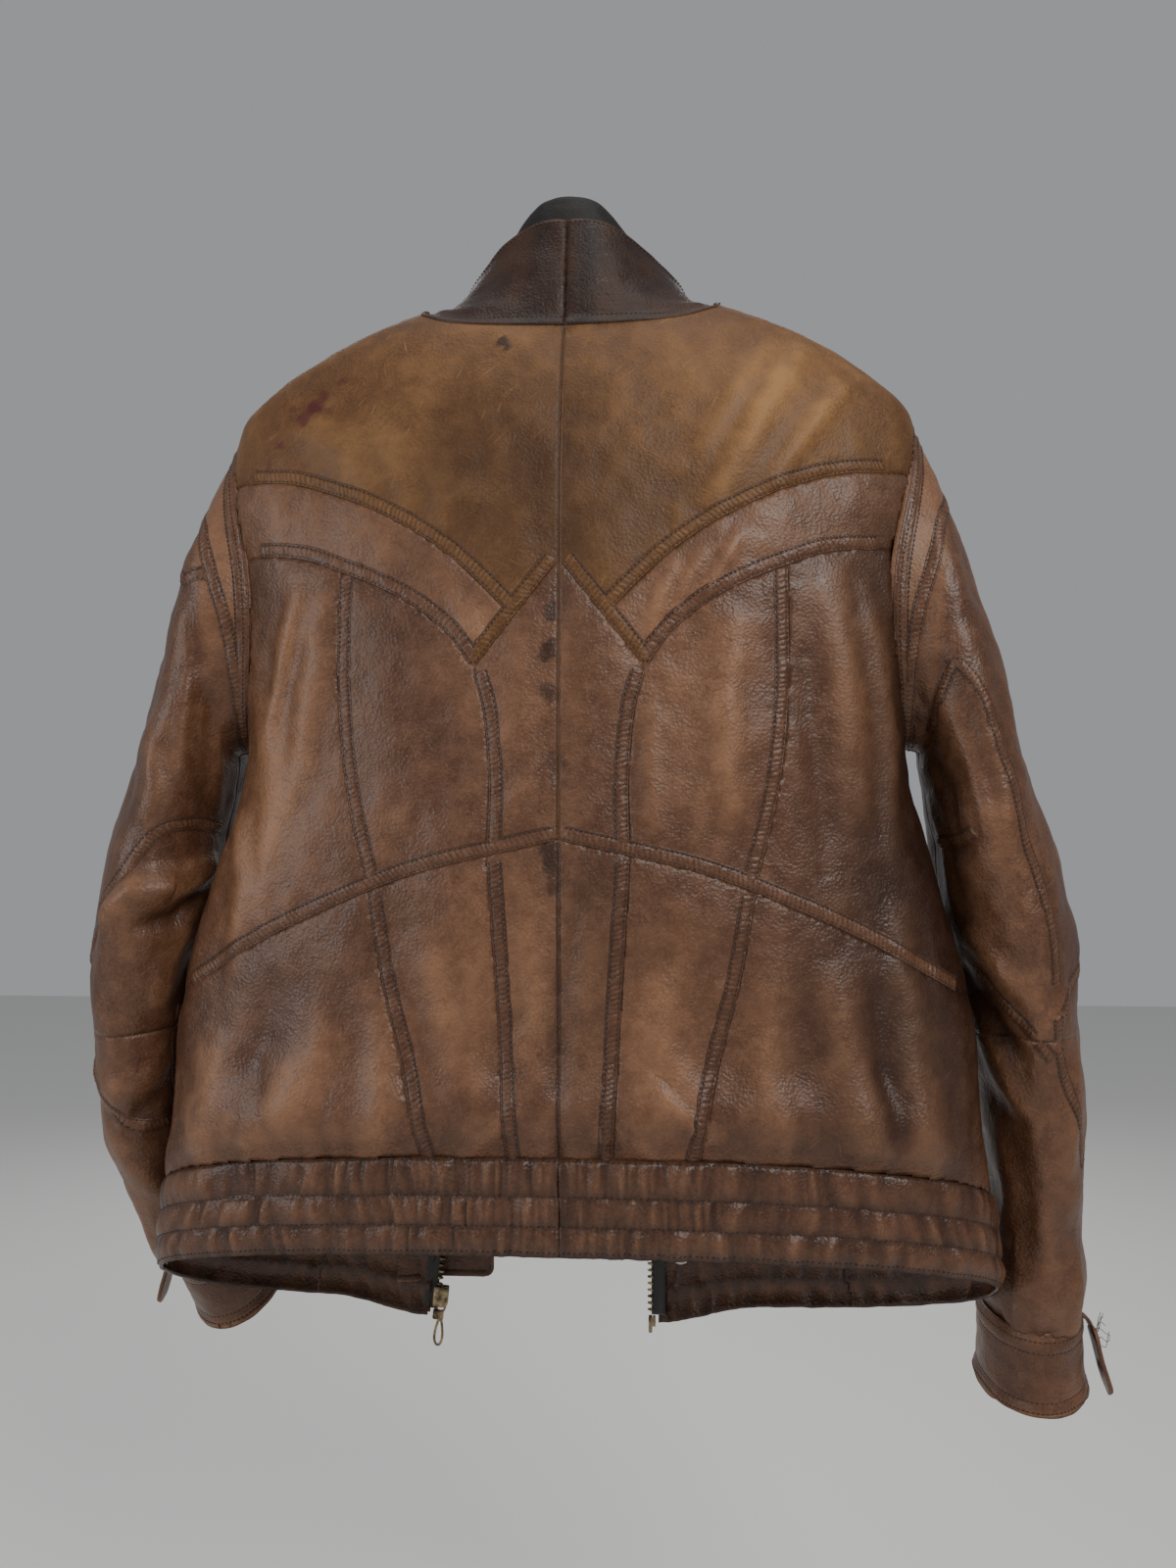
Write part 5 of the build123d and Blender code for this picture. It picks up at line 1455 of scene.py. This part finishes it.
    a, b = stitches(follow(edge_line + out_ * [sign, 1, 1] * 0.3, strap_tree, 1.6), strap_tree, 0.0, 0.12, pitch=2.9,
        length=2.0, radius=0.24)
    make(f"stitches_strap_{side}", a, b, THREAD, body=side + "_strap", slot="body_leather")
    if side == "right":
        frays = []
        for k in range(7):
            begin = root + along * (3 + 1.5 * k) + wide * (-6 + 2.1 * k) + out_ * 1.6
            lift_ = [begin + out_ * (2.2 * m) + along * (4.5 * math.sin(0.9 * m + k) - 1.5 * m) + wide * (3.0 * math.cos(1.1 * m + 2 * k)) for m in range(1, 5)]
            frays.append(wire([p * [sign, 1, 1] for p in [begin] + lift_], 0.22, sides=5, step=0.8))
        a, b = joined(frays)
        make("strap_frays_right", a, b, THREAD, slot="body_leather", body="right_strap")


def joined_middle(q):
    """For two mirrored halves in one list, each point's number, with the right half's middle points taken from the left."""
    half = len(q) // 2
    same = np.arange(len(q))
    middle = np.where(np.abs(q[:half, 0]) < 0.01)[0]
    same[middle + half] = middle
    return same


# ---- linings --------------------------------------------------------------------------------
fv, ff, fq, fn, fp, count = [], [], [], [], [], 0
for side, sign in SIDES:
    zs = ROW_Z[::2]
    columns = 110
    flat = body_grid(zs, columns).reshape(-1, 3)
    faces, n = oriented(flat, grid_faces(len(zs), columns), flat * [1, 1, 0])
    n[flat[:, 0] < 0.01, 0] = 0
    relief, _ = body_relief(side, sign, flat)
    folds_in = np.clip(-relief, 0, 8)
    q = flat * [sign, 1, 1]
    pleats = noise(q, (16, 16, 60), 161) * 1.2 + noise(q, (7, 7, 22), 162) * 0.4
    v = flat - n * (5.2 + folds_in + pleats)[:, None]
    v[flat[:, 0] < 0.01, 0] = 0
    v = v * [sign, 1, 1]
    faces, n = oriented(v, faces, q * [1, 1, 0])
    n[flat[:, 0] < 0.01, 0] = 0
    n /= np.linalg.norm(n, axis=1)[:, None]
    c = flat[faces].mean(1)
    panel = panel_of(side, *c.T)
    panel[c[:, 2] < band_height(c[:, 1]) - 2] = -1
    panel[(panel == 10) & (c[:, 2] > -84)] = -1
    fv.append(v)
    ff.append(faces + count)
    fq.append(q)
    fn.append(n)
    fp.append(panel)
    count += len(v)
    pv, pf, source = shell(v, n, faces, 0.8, panel == 10)
    make(f"front_facing_{side}", pv, pf, LINING, None, q[source], blend=front_blend(side),
        stands_for=[f"front_facing_{side}"], slot="lining_cloth")
v, f, q, n, panel = np.vstack(fv), np.vstack(ff), np.vstack(fq), np.vstack(fn), np.concatenate(fp)
same = joined_middle(q)
pv, pf, source = shell(v, n, same[f], 0.8, (panel >= 0) & (panel != 10))
make("body_lining", pv, pf, LINING, None, q[source], body="torso", stands_for=["body_lining"], slot="lining_cloth")

# elastic inside the back of the waistband: a ribbed band, gathered with it
fv, ff, fq, fn, count = [], [], [], [], 0
for side, sign in SIDES:
    columns, drops = 260, np.linspace(2, 59, 30)
    turn = np.linspace(0, np.pi * 0.5 - 0.06, columns)
    g = []
    for drop in drops:
        z = np.full(columns, -640.0)
        for _ in range(3):
            p = body_point(turn, z)
            z = band_height(p[:, 1]) - drop
        g.append(body_point(turn, z))
    flat = np.array(g).reshape(-1, 3)
    faces, n = oriented(flat, grid_faces(len(drops), columns), flat * [1, 1, 0])
    n[flat[:, 0] < 0.01, 0] = 0
    q = flat * [sign, 1, 1]
    d = np.repeat(drops, columns)
    inset = 5.6 + 0.35 * np.sin(d * 2 * np.pi / 5.2) + 0.9 * noise(np.stack([np.tile(turn * 190, len(drops)), d * 0.1,
        d * 0 + sign * 9], 1), (5, 9, 9), 171)
    v = flat - n * inset[:, None]
    v[flat[:, 0] < 0.01, 0] = 0
    v = v * [sign, 1, 1]
    faces, n = oriented(v, faces, q * [1, 1, 0])
    n[flat[:, 0] < 0.01, 0] = 0
    n /= np.linalg.norm(n, axis=1)[:, None]
    fv.append(v)
    ff.append(faces + count)
    fq.append(q)
    fn.append(n)
    count += len(v)
v, f, q, n = np.vstack(fv), np.vstack(ff), np.vstack(fq), np.vstack(fn)
same = joined_middle(q)
pv, pf, source = shell(v, n, same[f], 1.0)
make("waist_elastic", pv, pf, RIB, None, q[source], body="torso", stands_for=["waist_elastic"], slot="elastic")

# hanger loop: a doubled strap of leather, sewn at both ends
line = curve([(-28, 49.2, -10.5), (-20, 48.6, -10.8), (-12, 40.6, -11.4), (0, 39.0, -11.8), (12, 40.6, -11.4),
    (20, 48.6, -10.8), (28, 49.2, -10.5)], 1.0)
run = np.gradient(line, axis=0)
run /= np.linalg.norm(run, axis=1)[:, None]
across = np.cross(run, [0, 0, 1.0])
across /= np.linalg.norm(across, axis=1)[:, None]
rings = []
for k, p in enumerate(line):
    ring = []
    for a in np.linspace(0, 2 * np.pi, 20, endpoint=False):
        flat_z = 3.4 * np.sign(math.cos(a)) * abs(math.cos(a)) ** 0.45
        ring.append(p + across[k] * 0.85 * np.sign(math.sin(a)) * abs(math.sin(a)) ** 0.6 + np.array([0, 0,
            flat_z + 0.25 * math.sin(k * 0.35)]))
    rings.append(ring)
rings = np.array(rings)
v = np.vstack([rings.reshape(-1, 3), rings[0].mean(0), rings[-1].mean(0)])
f = np.vstack([grid_faces(len(rings), 20, wrap=True), [(k, (k + 1) % 20, len(v) - 2, -1) for k in range(20)],
               [((len(rings) - 1) * 20 + (k + 1) % 20, (len(rings) - 1) * 20 + k, len(v) - 1,
                   -1) for k in range(20)]])
make("hanger_loop", v, f, FACING, np.tile([0.3, 0.1, 0.0], (len(v), 1)), body="torso", stands_for=["hanger_loop"],
    slot="dark_facing")


# ---- zip ---------------------------------------------------------------------------------------
def lathe(profile, at, axis, count=40, squash=1.0):
    """A turned part: (radius, distance along the axis) points, closed at both ends on the axis."""
    axis = np.array(axis, float) / np.linalg.norm(axis)
    a = np.cross(axis, [0, 0, 1.0] if abs(axis[2]) < 0.9 else [1.0, 0, 0])
    a /= np.linalg.norm(a)
    b = np.cross(axis, a)
    g = np.linspace(0, 2 * np.pi, count, endpoint=False)
    rings = [np.array(at) + axis * d + np.outer(np.cos(g) * r, a) + np.outer(np.sin(g) * r * squash, b) for r,
        d in profile]
    v = np.vstack([np.array(rings).reshape(-1, 3), [np.array(at) + axis * profile[0][1]],
        [np.array(at) + axis * profile[-1][1]]])
    f = list(map(tuple, grid_faces(len(rings), count, wrap=True)))
    f += [((k + 1) % count, k, len(v) - 2, -1) for k in range(count)]
    f += [((len(rings) - 1) * count + k, (len(rings) - 1) * count + (k + 1) % count, len(v) - 1,
        -1) for k in range(count)]
    return v, f


def bar(centre, axes, half, corner=0.45):
    """A block with rounded edges: centre, three unit axes, half sizes."""
    pts, faces = [], []
    n = 6
    for ax in range(3):
        for s_ in (-1, 1):
            base = len(pts)
            for i in range(n + 1):
                for j in range(n + 1):
                    p = np.zeros(3)
                    p[ax] = s_
                    p[(ax + 1) % 3] = -1 + 2 * i / n
                    p[(ax + 2) % 3] = -1 + 2 * j / n
                    pts.append(p)
            for i in range(n):
                for j in range(n):
                    q = [base + i * (n + 1) + j, base + (i + 1) * (n + 1) + j, base + (i + 1) * (n + 1) + j + 1,
                        base + i * (n + 1) + j + 1]
                    faces.append(tuple(q if s_ > 0 else q[::-1]))
    pts = np.array(pts)
    key, index = {}, []
    kept = []
    for p in pts:
        k = tuple(np.round(p, 4))
        if k not in key:
            key[k] = len(kept)
            kept.append(p)
        index.append(key[k])
    kept = np.array(kept)
    faces = [tuple(index[i] for i in q) for q in faces]
    half = np.array(half, float)
    r = min(corner, 0.95 * half.min())
    p = kept * half
    core = np.clip(p, -(half - r), half - r)
    d = p - core
    length = np.linalg.norm(d, axis=1)
    d = np.where(length[:, None] > 1e-9, d / np.maximum(length, 1e-9)[:, None] * r, 0)
    p = core + d
    return np.array(centre) + p @ np.array(axes), faces


def zip_frame(side, sign):
    bottom = 113.0 if side == "left" else 53.0
    up = np.array([52.0 - bottom, 0, -75.0 + 722.0])
    length = np.linalg.norm(up)
    up /= length
    out_ = np.array([up[2], 0, -up[0]])
    origin = np.array([bottom, -96.0, -722.0])
    return origin * [sign, 1, 1], out_ * [sign, 1, 1], up * [sign, 1, 1], np.array([0, -1.0, 0]), length


for side, sign in SIDES:
    o, x_, y_, z_, length = zip_frame(side, sign)
    axes = np.array([x_, y_, z_])
    # tape: woven, a little wavy, with a corded edge under the teeth and its outer edge sewn under the leather
    rows, cols = 330, 9
    cx = np.linspace(1.6, 12.0, cols)
    cy = np.linspace(0, length, rows)
    gx, gy = np.meshgrid(cx, cy)
    wave = 0.25 * np.sin(gy / 21.0) + 0.10 * np.sin(gy / 3.1) * (gx < 4)
    v = o + gx.reshape(-1, 1) * x_ + gy.reshape(-1,
        1) * y_ + (wave.reshape(-1, 1) + 0.45 * (gx.reshape(-1, 1) < 2.5) + 0.5 - 1.3 * smooth(7, 9,
        gx.reshape(-1, 1))) * z_
    f, n = oriented(v, grid_faces(rows, cols), np.tile(z_, (len(v), 1)))
    pv, pf, source = shell(v, n, f, 1.0)
    make(f"zip_tape_{side}", pv, pf, TAPE, body=side + "_front", stands_for=[f"zip_tape_{side}"], slot="zip_tape")
    # teeth: each a clamp on the tape's edge with a rounded head
    parts = []
    for k in range(int(length / 5.0)):
        cy_ = 4.0 + k * 5.0
        parts.append(bar(o + x_ * 1.0 + y_ * cy_ + z_ * 0.0, axes, (1.55, 1.15, 1.5), 0.6))
        parts.append(bar(o - x_ * 1.0 + y_ * cy_ + z_ * 0.0, axes, (0.75, 0.80, 1.15), 0.6))
    v, f = joined(parts)
    make(f"zip_teeth_{side}", v, f, BRASS, body=side + "_front", stands_for=[f"zip_teeth_{side}"], slot="aged_brass")
    # edge stitching of the front beside the zip
    pts = [o + x_ * 11.5 + y_ * t - z_ * 2 for t in np.linspace(14, length - 16, 60)]
    tree = FRONT_TREE[side]
    a, b = stitches(follow(pts, tree, 2.6), tree, 0.0, 0.2)
    make(f"stitches_front_{side}", a, b, THREAD, body=side + "_front", slot="body_leather")

o, x_, y_, z_, length = zip_frame("left", 1.0)
axes = np.array([x_, y_, z_])


def at(a, b, c):
    return o + x_ * a + y_ * b + z_ * c


parts = [bar(at(-1.1, 10, 2.95), axes, (5.6, 7.8, 0.95), 0.8), bar(at(-1.1, 10, -2.95), axes, (5.6, 7.8, 0.95), 0.8),
         bar(at(-4.6, 12.5, 0), axes, (1.6, 4.6, 2.6), 0.6), bar(at(-1.1, 16.4, 0), axes, (1.2, 1.4, 2.6), 0.5),
         wire([at(-1.2, 5.0, 3.6), at(-1.2, 5.4, 6.4), at(-1.2, 10, 7.0), at(-1.2, 14.8, 6.2), at(-1.2, 15.2, 3.6)],
             1.0, sides=12)]
v, f = joined(parts)
make("zip_slider", v, f, BRASS, body="zip_slider", stands_for=["zip_slider"], slot="aged_brass")
parts = [wire([at(-1.2 + 3.6 * math.sin(a), 2.2 + 7.7 * math.cos(a), 5.2) for a in np.linspace(0, 2 * math.pi,
    17)[:-1]], 0.75, closed=True),
         wire([at(-1.2 + 2.2 * math.sin(a), -7.6 + 3.6 * math.cos(a), 5.2 + 0.9 * math.sin(a)) for a in np.linspace(0,
             2 * math.pi, 13)[:-1]], 0.7, closed=True),
         wire([at(-1.2 + 4.4 * math.sin(a) * (0.62 - 0.38 * math.cos(a)), -18.5 + 11.6 * math.cos(a),
             5.2) for a in np.linspace(0, 2 * math.pi, 25)[:-1]], 1.05, closed=True, flat=0.7)]
v, f = joined(parts)
make("zip_pull", v, f, BRASS, body="zip_pull", stands_for=["zip_pull"], slot="aged_brass")
v, f = joined([bar(at(-0.3, -4.2, 0), axes, (4.1, 3.8, 2.5), 0.9),
    bar(at(-0.3, -4.2, 2.4), axes, (2.6, 2.2, 0.5), 0.4)])
make("zip_box", v, f, BRASS, body="left_front", stands_for=["zip_box"], slot="aged_brass")
o, x_, y_, z_, length = zip_frame("right", -1.0)
axes = np.array([x_, y_, z_])
v, f = joined([bar(at(0.4, -7.2, 0), axes, (1.5, 6.8, 1.1), 0.8), bar(at(3.2, -5.0, 0), axes, (1.2, 4.4, 0.7), 0.5)])
make("zip_pin", v, f, BRASS, body="right_front", stands_for=["zip_pin"], slot="aged_brass")

# snap: on each front a cap outside and a ring inside
sx, sz = zip_x("left", -676.0) - 24, -676.0
v, f = joined([lathe([(7.9, 0), (8.0, 0.5), (7.4, 1.1), (6.0, 1.5), (4.6, 1.55), (3.9, 1.2), (3.4, 0.5), (2.4, 0.4)],
    (sx, -108.4, sz), (0, -1, 0)),
               lathe([(6.8, 0), (7.0, 0.4), (6.2, 1.0), (4.4, 1.1), (3.6, 0.6), (2.4, 0.5)], (sx, -106.2, sz),
                   (0, 1, 0))])
make("snap_socket", v, f, STEEL, body="left_front", stands_for=["snap_socket"], slot="snap_metal")
sx = -(zip_x("right", -676.0) + 24)
v, f = joined([lathe([(6.9, 0), (7.0, 0.5), (6.0, 1.1), (3.4, 1.3), (2.7, 1.6), (2.5, 2.6), (2.7, 3.2), (2.1, 3.6)],
    (sx, -101.8, sz), (0, -1, 0)),
               lathe([(7.6, 0), (7.8, 0.5), (6.9, 1.2), (5.0, 1.35), (4.2, 0.8), (2.8, 0.5), (1.6, 0.6)],
                   (sx, -96.6, sz), (0, 1, 0))])
make("snap_stud", v, f, STEEL, body="right_front", stands_for=["snap_stud"], slot="snap_metal")


# ---- camera, light and floor ----------------------------------------------------------
world = bpy.data.worlds.new("studio")
bpy.context.scene.world = world
world.use_nodes = True
world.node_tree.nodes["Background"].inputs["Color"].default_value = (0.80, 0.82, 0.85, 1)
world.node_tree.nodes["Background"].inputs["Strength"].default_value = 0.40


def area_light(name, at, aim, size, power, colour=(1, 1, 1)):
    data = bpy.data.lights.new(name, "AREA")
    data.shape, data.size, data.size_y = "RECTANGLE", size[0], size[1]
    data.energy, data.color = power, colour
    o = bpy.data.objects.new(name, data)
    o.location = at
    o.rotation_mode = "QUATERNION"
    o.rotation_quaternion = (Vector(aim) - Vector(at)).to_track_quat("-Z", "Y")
    bpy.context.scene.collection.objects.link(o)


area_light("key", (-1.2, 1.8, 1.0), (0, 0, -0.35), (1.1, 1.1), 52, (1.0, 0.98, 0.95))
area_light("side", (2.0, 1.4, 0.1), (0, 0, -0.35), (0.9, 1.6), 26, (0.95, 0.98, 1.0))
area_light("front", (0.3, -2.4, 0.8), (0, 0, -0.35), (2.0, 1.6), 24)
area_light("top", (0, 0.3, 2.0), (0, 0, -0.3), (1.6, 1.6), 14)

floor_data = bpy.data.meshes.new("floor")
floor_data.from_pydata([(-6, -6, -1.25), (6, -6, -1.25), (6, 6, -1.25), (-6, 6, -1.25)], [], [(0, 1, 2, 3)])
floor = bpy.data.objects.new("floor", floor_data)
bpy.context.scene.collection.objects.link(floor)
floor_material = bpy.data.materials.new("floor")
floor_material.use_nodes = True
floor_material.node_tree.nodes["Principled BSDF"].inputs["Base Color"].default_value = (0.72, 0.71, 0.69, 1)
floor_material.node_tree.nodes["Principled BSDF"].inputs["Roughness"].default_value = 0.9
floor_data.materials.append(floor_material)

camera_data = bpy.data.cameras.new("camera")
camera_data.lens, camera_data.sensor_width = 29.5, 36.0
camera = bpy.data.objects.new("camera", camera_data)
bpy.context.scene.collection.objects.link(camera)
TURN = math.radians(5.0)
camera.location = (-0.92 * math.sin(TURN), 0.92 * math.cos(TURN), -0.349)
look = Vector((math.sin(TURN), -math.cos(TURN), 0)).normalized()
to_right = Vector((-math.cos(TURN), -math.sin(TURN), 0))
look = (look + to_right * 0.013 + Vector((0, 0, 0.0382))).normalized()
camera.rotation_mode = "QUATERNION"
camera.rotation_quaternion = look.to_track_quat("-Z", "Y")
bpy.context.scene.camera = camera
